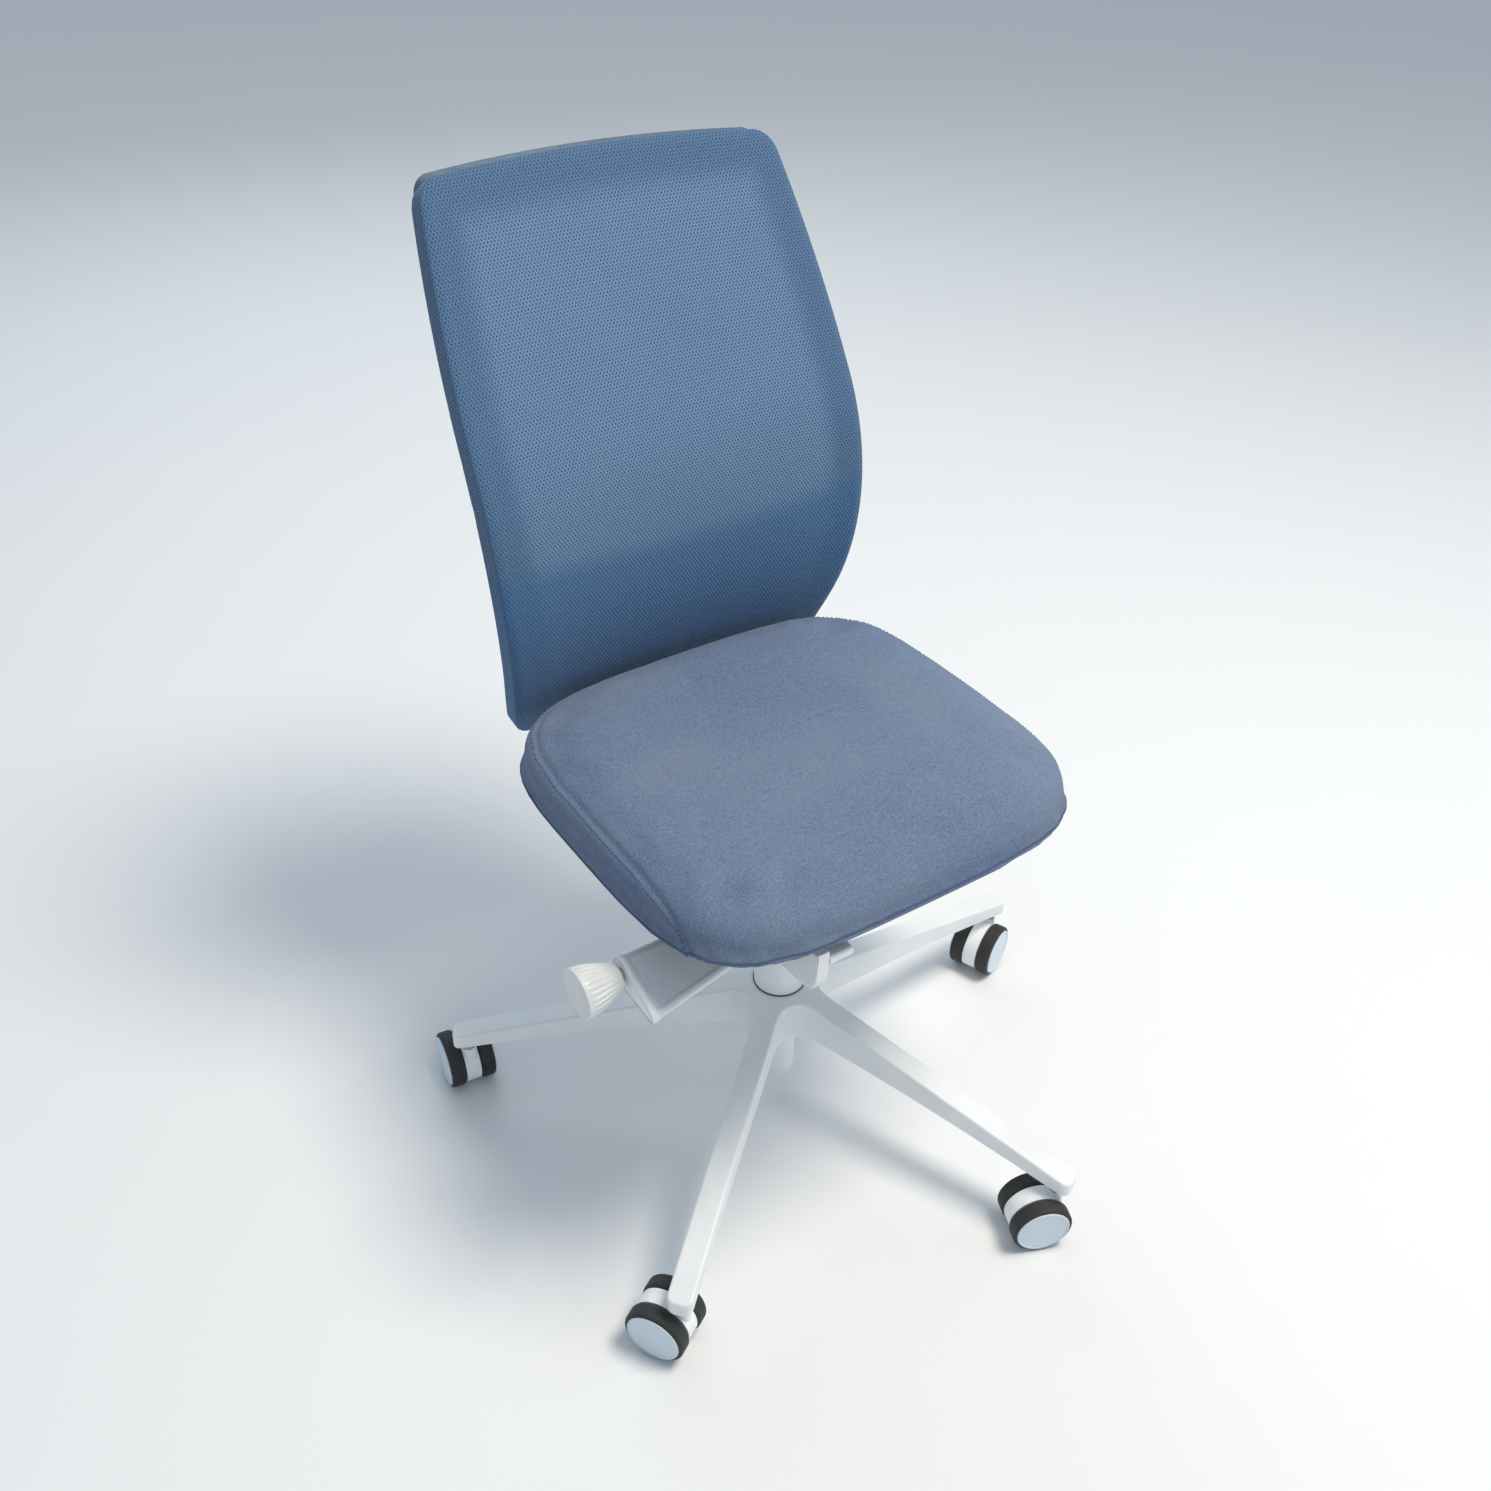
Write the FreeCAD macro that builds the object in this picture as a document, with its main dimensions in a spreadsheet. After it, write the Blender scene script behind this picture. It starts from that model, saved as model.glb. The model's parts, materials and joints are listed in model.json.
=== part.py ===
import FreeCAD, Part
import math
import os
import Sketcher
from FreeCAD import Placement, Rotation, Vector

# Armless swivel office chair: five-star base on twin-wheel casters, gas column,
# tilting mechanism, upholstered seat and a knitted back on a perimeter frame.
# Millimetres and degrees. The origin is on the floor under the column's axis,
# +Z is up, the sitter faces -Y and has the right hand towards -X.

DRIVING = {
    # star base
    "arm_reach": 365.0,            # column axis to the outer end of an arm
    "arm_width": 26.0,
    "arm_tip_top": 90.7,           # height of an arm's top face at its tip
    "arm_tip_depth": 17.0,
    "arm_root_depth": 47.0,
    "arm_root_radius": 60.0,
    "arm_belly_radius": 2600.0,    # gentle arch under each arm
    "arm_corner_radius": 28.0,     # inside corner between two arms
    "arm_tip_corner": 9.0,
    "arm_edge_round": 2.5,
    "hub_top": 170.0,
    "hub_shoulder": 32.0,
    "first_arm_angle": 4.3,
    "caster_inset": 16.0,          # caster stem to the arm's end
    "socket_top": 86.0,
    # casters
    "wheel_radius": 32.5,
    "tyre_width": 16.8,
    "tyre_depth": 4.0,
    "tyre_round": 3.4,
    "rim_proud": 1.4,              # cap rim beyond the tyre's flank
    "rim_width": 2.2,
    "hood_width": 17.0,
    "hood_radius": 30.6,
    "hood_skirt": 11.0,            # lowest edge of the hood above the floor
    "hood_gap": 0.7,
    "boss_radius": 8.2,
    "boss_top": 66.5,
    "caster_trail": 18.9,
    "axle_radius": 4.0,
    "stem_radius": 5.5,
    "stem_foot": 44.0,
    "collar_radius": 7.4,
    # column
    "tube_radius": 25.0,
    "tube_wall": 1.5,
    "tail_radius": 21.5,
    "tail_bottom": 27.0,
    "tail_round": 8.0,
    "hub_fit_radius": 24.0,
    "cover_radius": 28.0,
    "cover_top": 236.0,
    "tube_top": 248.0,
    "bush_bottom": 178.0,
    "cylinder_radius": 14.0,
    "cylinder_bottom": 150.0,
    "cylinder_top": 380.0,
    "rod_radius": 5.0,
    "rod_top": 178.0,
    "pin_radius": 4.0,
    "pin_proud": 9.6,
    # mechanism
    "housing_half": 58.0,
    "housing_front": 112.0,
    "housing_rear": 74.0,
    "housing_floor": 350.0,
    "housing_rim": 408.0,
    "housing_wall": 5.0,
    "housing_corner": 16.0,
    "cover_thickness": 3.0,
    "back_pivot_y": 54.0,
    "back_pivot_z": 388.0,
    "back_shaft_radius": 6.0,
    "seat_pivot_y": -62.0,
    "seat_pivot_z": 403.0,
    "seat_shaft_radius": 5.0,
    "lever_axis_y": -88.0,
    "lever_axis_z": 386.0,
    "journal_radius": 9.0,
    "knob_shaft_radius": 6.0,
    # height paddle and tension knob
    "paddle_inner": 72.0,
    "paddle_outer": 245.0,
    "paddle_barrel": 16.0,
    "paddle_chord": 48.0,          # axis to the centre of the front lip, outboard
    "paddle_chord_inner": 14.0,
    "paddle_lip": 6.0,
    "paddle_lip_drop": 12.0,
    "paddle_bevel": 2.0,
    "knob_length": 42.0,
    "knob_small_radius": 13.5,
    "knob_large_radius": 25.0,
    "knob_flutes": 26.0,
    # seat
    "seat_half_width": 235.9,
    "seat_half_depth": 216.5,
    "seat_squareness": 4.2,
    "seat_rise": 436.0,            # underside of the pan over the column
    "seat_lean": 1.1,              # front edge higher than the rear
    "pan_thickness": 8.0,
    "pan_inset": 14.0,
    "cushion_thickness": 57.0,
    "cushion_edge": 24.0,
    "carrier_half": 85.0,
    "carrier_front": 118.0,
    "carrier_rear": 128.0,
    "carrier_thickness": 6.0,
    "cheek_thickness": 5.0,
    "arm_bolt_x": 180.0,           # the outer hole stays 12 mm inside the pan's edge
    "arm_bolt_circle": 60.0,
    "arm_bolt_radius": 3.3,
    "screw_radius": 3.0,
    # tilt lock
    "lock_x": 118.0,
    "lock_width": 14.0,
    "lock_front": 207.0,
    "lock_rear": 152.0,
    "lock_bottom": 390.0,
    "lock_lever_length": 27.0,
    # back
    "back_bottom": 428.0,
    "back_top": 963.0,
    "back_half_bottom": 181.0,
    "back_half_top": 185.4,
    "back_side_radius": 1270.0,
    "back_crown_radius": 3100.0,
    "back_corner": 22.0,
    "back_bend_radius": 1300.0,    # gentle wrap around the sitter
    "lumbar_z": 627.0,
    "lumbar_y": 165.0,
    "lumbar_radius": 300.0,
    "lower_lean": 21.8,
    "upper_lean": 28.95,
    "mesh_thickness": 3.0,
    "frame_thickness": 18.0,
    "frame_band": 37.0,
    "frame_inset": 2.0,
    "window_corner": 16.0,
    "upright_thickness": 12.0,
    "bend_inner_radius": 20.0,
    "bend_outer_radius": 36.0,
    "upright_half": 30.0,
    "upright_arm_z": 594.0,
    "upright_arm_half": 19.0,
    "ear_thickness": 7.0,
    "ear_radius": 14.0,
    # clearances
    "running_gap": 0.05,
    "seat_fit": 0.02,
    "side_gap": 1.2,
    "skin_gap": 0.3,
}

ARM_COUNT = 5
# direction in which each caster trails, seen from above, anticlockwise from +X
CASTER_HEADINGS = (203.0, 250.0, 83.1, 119.5, 157.9)


class Size:
    """A number together with the sheet formula that yields it."""

    def __init__(self, value, formula):
        self.value = float(value)
        self.formula = formula

    def __add__(self, other):
        return joined(self, "+", other)

    def __radd__(self, other):
        return joined(other, "+", self)

    def __sub__(self, other):
        return joined(self, "-", other)

    def __rsub__(self, other):
        return joined(other, "-", self)

    def __mul__(self, other):
        return joined(self, "*", other)

    def __rmul__(self, other):
        return joined(other, "*", self)

    def __truediv__(self, other):
        return joined(self, "/", other)

    def __neg__(self):
        return joined(0, "-", self)


def as_size(number):
    if isinstance(number, Size):
        return number
    return Size(number, "(%.6g)" % number)


def joined(left, sign, right):
    left = as_size(left)
    right = as_size(right)
    results = {
        "+": left.value + right.value,
        "-": left.value - right.value,
        "*": left.value * right.value,
        "/": left.value / right.value if right.value else 0.0,
    }
    return Size(results[sign], "(%s %s %s)" % (left.formula, sign, right.formula))


def sine(angle):
    return Size(math.sin(math.radians(angle.value)), "sin(%s * 1 deg)" % angle.formula)


def cosine(angle):
    return Size(math.cos(math.radians(angle.value)), "cos(%s * 1 deg)" % angle.formula)


def tangent(angle):
    return sine(angle) / cosine(angle)


def root(size):
    return Size(math.sqrt(size.value), "sqrt(%s)" % size.formula)


class Sizes:
    """The sheet's driving dimensions, one attribute for each alias."""

    def __init__(self, sheet, table):
        for row, (alias, value) in enumerate(table.items(), start=1):
            sheet.set("A%d" % row, alias)
            sheet.set("B%d" % row, str(value))
            sheet.setAlias("B%d" % row, alias)
            setattr(self, alias, Size(value, "Sizes.%s" % alias))


doc = FreeCAD.newDocument("swivel_chair")
sheet = doc.addObject("Spreadsheet::Sheet", "Sizes")
d = Sizes(sheet, DRIVING)
doc.recompute()

parts = []


def bind(item, path, size):
    item.setExpression(path, as_size(size).formula)


# ---------------------------------------------------------------- sketching

def origin_plane(body, role):
    return [item for item in body.Origin.OriginFeatures if item.Role == role][0]


def new_body(label):
    body = doc.addObject("PartDesign::Body", label)
    body.Label = label
    parts.append(body)
    return body


def new_sketch(body, role, offset=0):
    """An empty sketch on one of the body's origin planes, moved along its normal."""
    sketch = body.newObject("Sketcher::SketchObject", "Sketch")
    sketch.AttachmentSupport = [(origin_plane(body, role), "")]
    sketch.MapMode = "FlatFace"
    offset = as_size(offset)
    sketch.AttachmentOffset = Placement(Vector(0, 0, offset.value), Rotation())
    bind(sketch, "AttachmentOffset.Base.z", offset)
    return sketch


def fix_coordinate(sketch, geometry, point, kind, size):
    """Tie one coordinate of a sketch point to a size."""
    origin_axis = {"DistanceX": -2, "DistanceY": -1}[kind]
    if size.value == 0:
        constraint = Sketcher.Constraint("PointOnObject", geometry, point, origin_axis)
        sketch.addConstraint(constraint)
        return
    if size.value > 0:
        ends = (-1, 1, geometry, point)
    else:
        ends = (geometry, point, -1, 1)
        size = -size
    index = sketch.addConstraint(Sketcher.Constraint(kind, *ends, size.value))
    bind(sketch, "Constraints[%d]" % index, size)


def add_arc(sketch, start, end, radius, turn):
    """Arc from start to end; turn is +1 anticlockwise, -1 clockwise."""
    chord = end - start
    half = chord.Length / 2
    rise = math.sqrt(max(radius.value ** 2 - half ** 2, 0.0))
    across = Vector(-chord.y, chord.x, 0).normalize()
    centre = start + chord * 0.5 + across * (rise * turn)
    first, last = (start, end) if turn > 0 else (end, start)
    angles = [math.atan2(p.y - centre.y, p.x - centre.x) for p in (first, last)]
    circle = Part.Circle(centre, Vector(0, 0, 1), radius.value)
    index = sketch.addGeometry(Part.ArcOfCircle(circle, angles[0], angles[1]), False)
    number = sketch.addConstraint(Sketcher.Constraint("Radius", index, radius.value))
    bind(sketch, "Constraints[%d]" % number, radius)
    return (index, 1, 2) if turn > 0 else (index, 2, 1)


def add_outline(sketch, path):
    """A closed outline through the path's corners.

    Each corner is (x, y), or (x, y, radius, turn) when an arc leads to it.
    """
    corners = [(as_size(step[0]), as_size(step[1])) for step in path]
    points = [Vector(x.value, y.value, 0) for x, y in corners]
    count = len(path)
    pieces = []
    for i in range(count):
        after = path[(i + 1) % count]
        start, end = points[i], points[(i + 1) % count]
        if len(after) == 4:
            pieces.append(add_arc(sketch, start, end, as_size(after[2]), after[3]))
        else:
            index = sketch.addGeometry(Part.LineSegment(start, end), False)
            pieces.append((index, 1, 2))
    for i in range(count):
        here, before = pieces[i], pieces[i - 1]
        joint = Sketcher.Constraint("Coincident", before[0], before[2], here[0], here[1])
        sketch.addConstraint(joint)
        fix_coordinate(sketch, here[0], here[1], "DistanceX", corners[i][0])
        fix_coordinate(sketch, here[0], here[1], "DistanceY", corners[i][1])


def add_circle(sketch, x, y, radius):
    x, y, radius = as_size(x), as_size(y), as_size(radius)
    circle = Part.Circle(Vector(x.value, y.value, 0), Vector(0, 0, 1), radius.value)
    index = sketch.addGeometry(circle, False)
    fix_coordinate(sketch, index, 3, "DistanceX", x)
    fix_coordinate(sketch, index, 3, "DistanceY", y)
    number = sketch.addConstraint(Sketcher.Constraint("Radius", index, radius.value))
    bind(sketch, "Constraints[%d]" % number, radius)


def outline_sketch(body, role, path, offset=0):
    sketch = new_sketch(body, role, offset)
    add_outline(sketch, path)
    return sketch


def circle_sketch(body, role, x, y, radius, offset=0):
    sketch = new_sketch(body, role, offset)
    add_circle(sketch, x, y, radius)
    return sketch


def rounded_rectangle(x_low, x_high, y_low, y_high, corner):
    """Corner list of a rectangle with rounded corners, anticlockwise."""
    return [
        (x_low + corner, y_low),
        (x_high - corner, y_low),
        (x_high, y_low + corner, corner, 1),
        (x_high, y_high - corner),
        (x_high - corner, y_high, corner, 1),
        (x_low + corner, y_high),
        (x_low, y_high - corner, corner, 1),
        (x_low, y_low + corner),
        (x_low + corner, y_low, corner, 1),
    ][1:]


# ---------------------------------------------------------------- features

def pad(body, sketch, length, both_ways=False, reverse=False):
    feature = body.newObject("PartDesign::Pad", "Pad")
    feature.Profile = sketch
    bind(feature, "Length", length)
    feature.SideType = "Symmetric" if both_ways else "One side"
    feature.Reversed = reverse
    body.Tip = feature
    return feature


def pocket(body, sketch, length=None, both_ways=False, reverse=False):
    """Cut the sketch away; with no length the cut goes right through."""
    feature = body.newObject("PartDesign::Pocket", "Pocket")
    feature.Profile = sketch
    feature.SideType = "Symmetric" if both_ways else "One side"
    if length is None:
        feature.Type = "ThroughAll"
    else:
        bind(feature, "Length", length)
    feature.Reversed = reverse
    body.Tip = feature
    return feature


def revolve(body, sketch, axis="V_Axis", angle=360, both_ways=False):
    feature = body.newObject("PartDesign::Revolution", "Revolution")
    feature.Profile = sketch
    feature.ReferenceAxis = (sketch, [axis])
    bind(feature, "Angle", angle)
    feature.Midplane = both_ways
    body.Tip = feature
    return feature


def polar_pattern(body, feature, count):
    pattern = body.newObject("PartDesign::PolarPattern", "PolarPattern")
    pattern.Originals = [feature]
    axis = [item for item in body.Origin.OriginFeatures if item.Role == "Z_Axis"][0]
    pattern.Axis = (axis, [""])
    pattern.Angle = 360
    pattern.Occurrences = count
    body.Tip = pattern
    return pattern


def round_edges(body, radius, wanted):
    """Fillet every edge of the body so far for which wanted(edge) is true."""
    doc.recompute()
    base = body.Tip
    names = []
    for number, edge in enumerate(base.Shape.Edges, start=1):
        if wanted(edge):
            names.append("Edge%d" % number)
    feature = body.newObject("PartDesign::Fillet", "Fillet")
    feature.Base = (base, names)
    bind(feature, "Radius", radius)
    body.Tip = feature
    return feature


def middle(edge):
    return edge.valueAt((edge.FirstParameter + edge.LastParameter) / 2)


def runs_along(edge, direction):
    """True for a straight edge parallel to the direction."""
    if not isinstance(edge.Curve, Part.Line):
        return False
    return abs(edge.Curve.Direction.dot(direction)) > 0.999


def turned(label, profile):
    """A body turned about its own Z axis from (radius, height) corners."""
    body = new_body(label)
    revolve(body, outline_sketch(body, "XZ_Plane", profile))
    return body


def placed(item, x=0.0, y=0.0, z=0.0, rotation=None):
    item.Placement = Placement(Vector(x, y, z), rotation or Rotation())


def shape_part(label, shape):
    item = doc.addObject("Part::Feature", label)
    item.Shape = shape
    item.Label = label
    parts.append(item)
    return item


X, Y, Z = Vector(1, 0, 0), Vector(0, 1, 0), Vector(0, 0, 1)


# ---------------------------------------------------------------- star base

arm_slope = (d.hub_top - d.arm_tip_top) / (d.arm_reach - d.hub_shoulder)


def arm_top_at(radius):
    return d.arm_tip_top + arm_slope * (d.arm_reach - radius)


def star_base():
    """A turned cone cut into five straight arms with rounded inside corners."""
    body = new_body("star_base")
    bore = d.hub_fit_radius + d.seat_fit
    root_z = arm_top_at(d.arm_root_radius) - d.arm_root_depth
    profile = [
        (bore, d.hub_top),
        (bore, root_z),
        (d.arm_root_radius, root_z),
        (d.arm_reach, d.arm_tip_top - d.arm_tip_depth, d.arm_belly_radius, -1),
        (d.arm_reach, d.arm_tip_top),
        (d.hub_shoulder, d.hub_top),
    ]
    revolve(body, outline_sketch(body, "XZ_Plane", profile))

    half_pitch = Size(180.0 / ARM_COUNT, "(180 / %d)" % ARM_COUNT)
    half = d.arm_width / 2
    corner_x = (half + d.arm_corner_radius) / tangent(half_pitch)
    far = d.arm_reach * 1.3
    cos2, sin2 = cosine(half_pitch * 2), sine(half_pitch * 2)

    def beside_next_arm(along):
        return (along * cos2 + half * sin2, along * sin2 - half * cos2)

    sketch = new_sketch(body, "XY_Plane", d.hub_top + 10)
    add_outline(sketch, [
        beside_next_arm(corner_x),
        (corner_x, half, d.arm_corner_radius, 1),
        (far, half),
        beside_next_arm(far),
    ])
    cut = pocket(body, sketch)
    polar_pattern(body, cut, ARM_COUNT)

    socket_x = d.arm_reach - d.caster_inset
    socket = circle_sketch(body, "XY_Plane", socket_x, 0, d.stem_radius + d.running_gap)
    hole = pocket(body, socket, d.socket_top, reverse=True)
    polar_pattern(body, hole, ARM_COUNT)

    reach = d.arm_reach.value

    def at_tip(edge):
        centre = middle(edge)
        return runs_along(edge, Z) and math.hypot(centre.x, centre.y) > reach - 5

    round_edges(body, d.arm_tip_corner, at_tip)

    def on_top(edge):
        for fraction in (0.1, 0.5, 0.9):
            span = edge.LastParameter - edge.FirstParameter
            point = edge.valueAt(edge.FirstParameter + span * fraction)
            radius = math.hypot(point.x, point.y)
            if radius < d.hub_shoulder.value + 2:
                return False
            if abs(point.z - arm_top_at(Size(radius, "")).value) > 0.05:
                return False
        return True

    round_edges(body, d.arm_edge_round, on_top)
    placed(body, rotation=Rotation(Z, d.first_arm_angle.value))


# ---------------------------------------------------------------- casters

WHEEL_SIDES = (("left", 1), ("right", -1))


def wheel_core(label):
    """Wheel disc with a raised outer rim and a blind axle bore, inner face down."""
    seat = d.wheel_radius - d.tyre_depth - d.seat_fit
    face = d.tyre_width + d.rim_proud * 0.45
    rim = d.tyre_width + d.rim_proud
    bore = d.axle_radius + d.running_gap
    hub = d.axle_radius * 2.2
    web = d.tyre_width - 4
    return turned(label, [
        (bore, 0),
        (hub, 0),
        (hub, web),
        (seat - 3, web),
        (seat - 3, 0.5),
        (seat, 0.5),
        (seat, rim - 1),
        (seat - 1, rim, 1, 1),
        (seat - d.rim_width, rim),
        (seat - d.rim_width - 0.6, face),
        (0, face),
        (0, d.tyre_width - 1.6),
        (bore, d.tyre_width - 1.6),
    ])


def tyre_ring(label):
    inner = d.wheel_radius - d.tyre_depth
    turn = d.tyre_round
    outer = d.wheel_radius
    return turned(label, [
        (inner, 0.4),
        (outer - turn, 0.4),
        (outer, 0.4 + turn, turn, 1),
        (outer, d.tyre_width - turn),
        (outer - turn, d.tyre_width, turn, 1),
        (inner, d.tyre_width),
    ])


def caster_hood(label):
    """Curved web between the two wheels with the boss that holds the stem."""
    body = new_body(label)
    disc = circle_sketch(body, "XZ_Plane", d.caster_trail, d.wheel_radius, d.hood_radius)
    pad(body, disc, d.hood_width, both_ways=True)
    boss = circle_sketch(body, "XY_Plane", 0, 0, d.boss_radius, d.wheel_radius)
    pad(body, boss, d.boss_top - d.wheel_radius)
    below = outline_sketch(body, "XZ_Plane", [
        (d.caster_trail - d.hood_radius * 1.2, -5),
        (d.caster_trail + d.hood_radius * 1.2, -5),
        (d.caster_trail + d.hood_radius * 1.2, d.hood_skirt),
        (d.caster_trail - d.hood_radius * 1.2, d.hood_skirt),
    ])
    pocket(body, below, both_ways=True)
    bore = circle_sketch(body, "XY_Plane", 0, 0, d.stem_radius + d.seat_fit, d.boss_top)
    pocket(body, bore, d.boss_top - d.stem_foot)
    axle = circle_sketch(body, "XZ_Plane", d.caster_trail, d.wheel_radius,
                         d.axle_radius + d.seat_fit)
    pocket(body, axle, both_ways=True)
    return body


def caster_stem(label):
    """Steel pin with a collar; its upper end turns in the arm's socket."""
    collar_top = d.arm_tip_top - d.arm_tip_depth + 0.6
    chamfer = 1
    return turned(label, [
        (0, d.stem_foot),
        (d.stem_radius, d.stem_foot),
        (d.stem_radius, d.boss_top + 0.3),
        (d.collar_radius, d.boss_top + 0.3),
        (d.collar_radius, collar_top),
        (d.stem_radius, collar_top),
        (d.stem_radius, d.socket_top - 1.5),
        (d.stem_radius - chamfer, d.socket_top - 0.5),
        (0, d.socket_top - 0.5),
    ])


def caster_axle(label):
    axle = doc.addObject("Part::Cylinder", label)
    axle.Label = label
    bind(axle, "Radius", d.axle_radius)
    bind(axle, "Height", (wheel_offset + d.tyre_width - 2) * 2)
    parts.append(axle)
    return axle


wheel_offset = d.hood_width / 2 + d.hood_gap


def caster(number, arm_angle, heading):
    """One complete caster, its stem on the caster circle at the given angle."""
    radius = (d.arm_reach - d.caster_inset).value
    centre = Vector(radius * math.cos(math.radians(arm_angle)),
                    radius * math.sin(math.radians(arm_angle)), 0)
    stand = Placement(centre, Rotation(Z, heading))
    caster_hood("caster_hood_%d" % number).Placement = stand
    caster_stem("caster_stem_%d" % number).Placement = stand
    trail, height = d.caster_trail.value, d.wheel_radius.value
    axle = caster_axle("caster_axle_%d" % number)
    half = (wheel_offset + d.tyre_width - 2).value
    axle.Placement = stand * Placement(Vector(trail, half, height), Rotation(X, 90))
    for side, sign in WHEEL_SIDES:
        turn = Rotation(X, -90 * sign)
        seat = Placement(Vector(trail, sign * wheel_offset.value, height), turn)
        tyre_ring("tyre_%s_%d" % (side, number)).Placement = stand * seat
        wheel_core("wheel_%s_%d" % (side, number)).Placement = stand * seat


# ---------------------------------------------------------------- gas column

def column():
    inner = d.tube_radius - d.tube_wall
    tail_bore = d.tail_radius - 2
    hub_bottom = arm_top_at(d.arm_root_radius) - d.arm_root_depth
    turned("column_tube", [
        (0, d.tail_bottom),
        (d.tail_radius - d.tail_round, d.tail_bottom),
        (d.tail_radius, d.tail_bottom + d.tail_round, d.tail_round, 1),
        (d.tail_radius, hub_bottom - 8),
        (d.hub_fit_radius, hub_bottom - 2),
        (d.hub_fit_radius, d.hub_top),
        (d.tube_radius, d.hub_top + 1),
        (d.tube_radius, d.tube_top),
        (inner, d.tube_top),
        (inner, d.bush_bottom),
        (tail_bore, d.bush_bottom - 4),
        (tail_bore, d.tail_bottom + 6),
        (0, d.tail_bottom + 6),
    ])
    turned("column_cover", [
        (d.tube_radius + d.seat_fit, d.hub_top + 1),
        (d.tube_radius + d.seat_fit, d.cover_top),
        (d.cover_radius - 1, d.cover_top),
        (d.cover_radius, d.cover_top - 1, 1, -1),
        (d.cover_radius, d.hub_top),
        (d.tube_radius + 1.2, d.hub_top),
    ])
    bush_bore = d.cylinder_radius + d.running_gap
    turned("guide_bush", [
        (bush_bore, d.bush_bottom),
        (inner - d.seat_fit, d.bush_bottom),
        (inner - d.seat_fit, d.tube_top),
        (d.tube_radius, d.tube_top),
        (d.tube_radius - 1, d.tube_top + 3),
        (bush_bore, d.tube_top + 3),
    ])
    seat_z = d.tail_bottom + 6
    turned("thrust_bearing", [
        (d.rod_radius + d.running_gap, seat_z),
        (d.rod_radius + 8, seat_z),
        (d.rod_radius + 8, seat_z + 2.5),
        (d.rod_radius + 7, seat_z + 3),
        (d.rod_radius + 7, seat_z + 5),
        (d.rod_radius + 8, seat_z + 5.5),
        (d.rod_radius + 8, seat_z + 8),
        (d.rod_radius + d.running_gap, seat_z + 8),
    ])
    turned("piston_rod", [
        (0, seat_z + 0.5),
        (d.rod_radius, seat_z + 0.5),
        (d.rod_radius, seat_z + 8.05),
        (d.rod_radius + 6, seat_z + 8.05),
        (d.rod_radius + 6, seat_z + 12),
        (d.rod_radius, seat_z + 12),
        (d.rod_radius, d.rod_top),
        (0, d.rod_top),
    ])
    bore_top = d.cylinder_bottom + 150
    turned("gas_cylinder", [
        (d.rod_radius + d.running_gap, d.cylinder_bottom),
        (d.cylinder_radius - 1, d.cylinder_bottom),
        (d.cylinder_radius, d.cylinder_bottom + 1),
        (d.cylinder_radius, d.cylinder_top),
        (d.pin_radius + d.running_gap, d.cylinder_top),
        (d.pin_radius + d.running_gap, d.cylinder_top - 14),
        (0, d.cylinder_top - 14),
        (0, bore_top),
        (d.rod_radius + d.running_gap, bore_top),
    ])
    turned("valve_pin", [
        (0, d.cylinder_top - 7),
        (d.pin_radius, d.cylinder_top - 7),
        (d.pin_radius, d.cylinder_top + d.pin_proud - 1),
        (d.pin_radius - 1, d.cylinder_top + d.pin_proud),
        (0, d.cylinder_top + d.pin_proud),
    ])


# ---------------------------------------------------------------- mechanism

def cross_hole(body, y, z, radius):
    """A hole along X through both side walls."""
    pocket(body, circle_sketch(body, "YZ_Plane", y, z, radius), both_ways=True)


def mechanism_housing():
    """Open tray with a boss for the gas cylinder and holes for the shafts."""
    body = new_body("mechanism_housing")
    half, front, rear = d.housing_half, -d.housing_front, d.housing_rear
    outside = rounded_rectangle(-half, half, front, rear, d.housing_corner)
    base = outline_sketch(body, "XY_Plane", outside, d.housing_floor)
    pad(body, base, d.housing_rim - d.housing_floor)
    floor_z = d.housing_floor.value
    round_edges(body, 10, lambda edge: abs(middle(edge).z - floor_z) < 0.01)
    wall = d.housing_wall
    inside = rounded_rectangle(-half + wall, half - wall, front + wall, rear - wall,
                               d.housing_corner - wall)
    tray = outline_sketch(body, "XY_Plane", inside, d.housing_rim)
    pocket(body, tray, d.housing_rim - d.housing_floor - wall)
    boss = circle_sketch(body, "XY_Plane", 0, 0, d.cylinder_radius + 7, d.housing_floor - 5)
    pad(body, boss, d.cylinder_top - 2 - (d.housing_floor - 5))
    bore = circle_sketch(body, "XY_Plane", 0, 0, d.cylinder_radius + d.seat_fit,
                         d.cylinder_top)
    pocket(body, bore)
    cross_hole(body, d.back_pivot_y, d.back_pivot_z, d.back_shaft_radius + d.seat_fit)
    cross_hole(body, d.seat_pivot_y, d.seat_pivot_z, d.seat_shaft_radius + d.seat_fit)
    journal = circle_sketch(body, "YZ_Plane", d.lever_axis_y, d.lever_axis_z,
                            d.journal_radius + d.running_gap, -half + wall * 2)
    pocket(body, journal, wall * 3)
    return body


def mechanism_cover():
    body = new_body("mechanism_cover")
    half, front, rear = d.housing_half, -d.housing_front, d.housing_rear
    lid = rounded_rectangle(-half, half, front, rear, d.housing_corner)
    pad(body, outline_sketch(body, "XY_Plane", lid, d.housing_rim), d.cover_thickness)
    top = (d.housing_rim + d.cover_thickness).value
    round_edges(body, 1.5, lambda edge: abs(middle(edge).z - top) < 0.01)


def cross_shaft(label, y, z, radius, half_length):
    shaft = doc.addObject("Part::Cylinder", label)
    shaft.Label = label
    bind(shaft, "Radius", radius)
    bind(shaft, "Height", half_length * 2)
    placed(shaft, -half_length.value, y.value, z.value, Rotation(Y, 90))
    parts.append(shaft)


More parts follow.
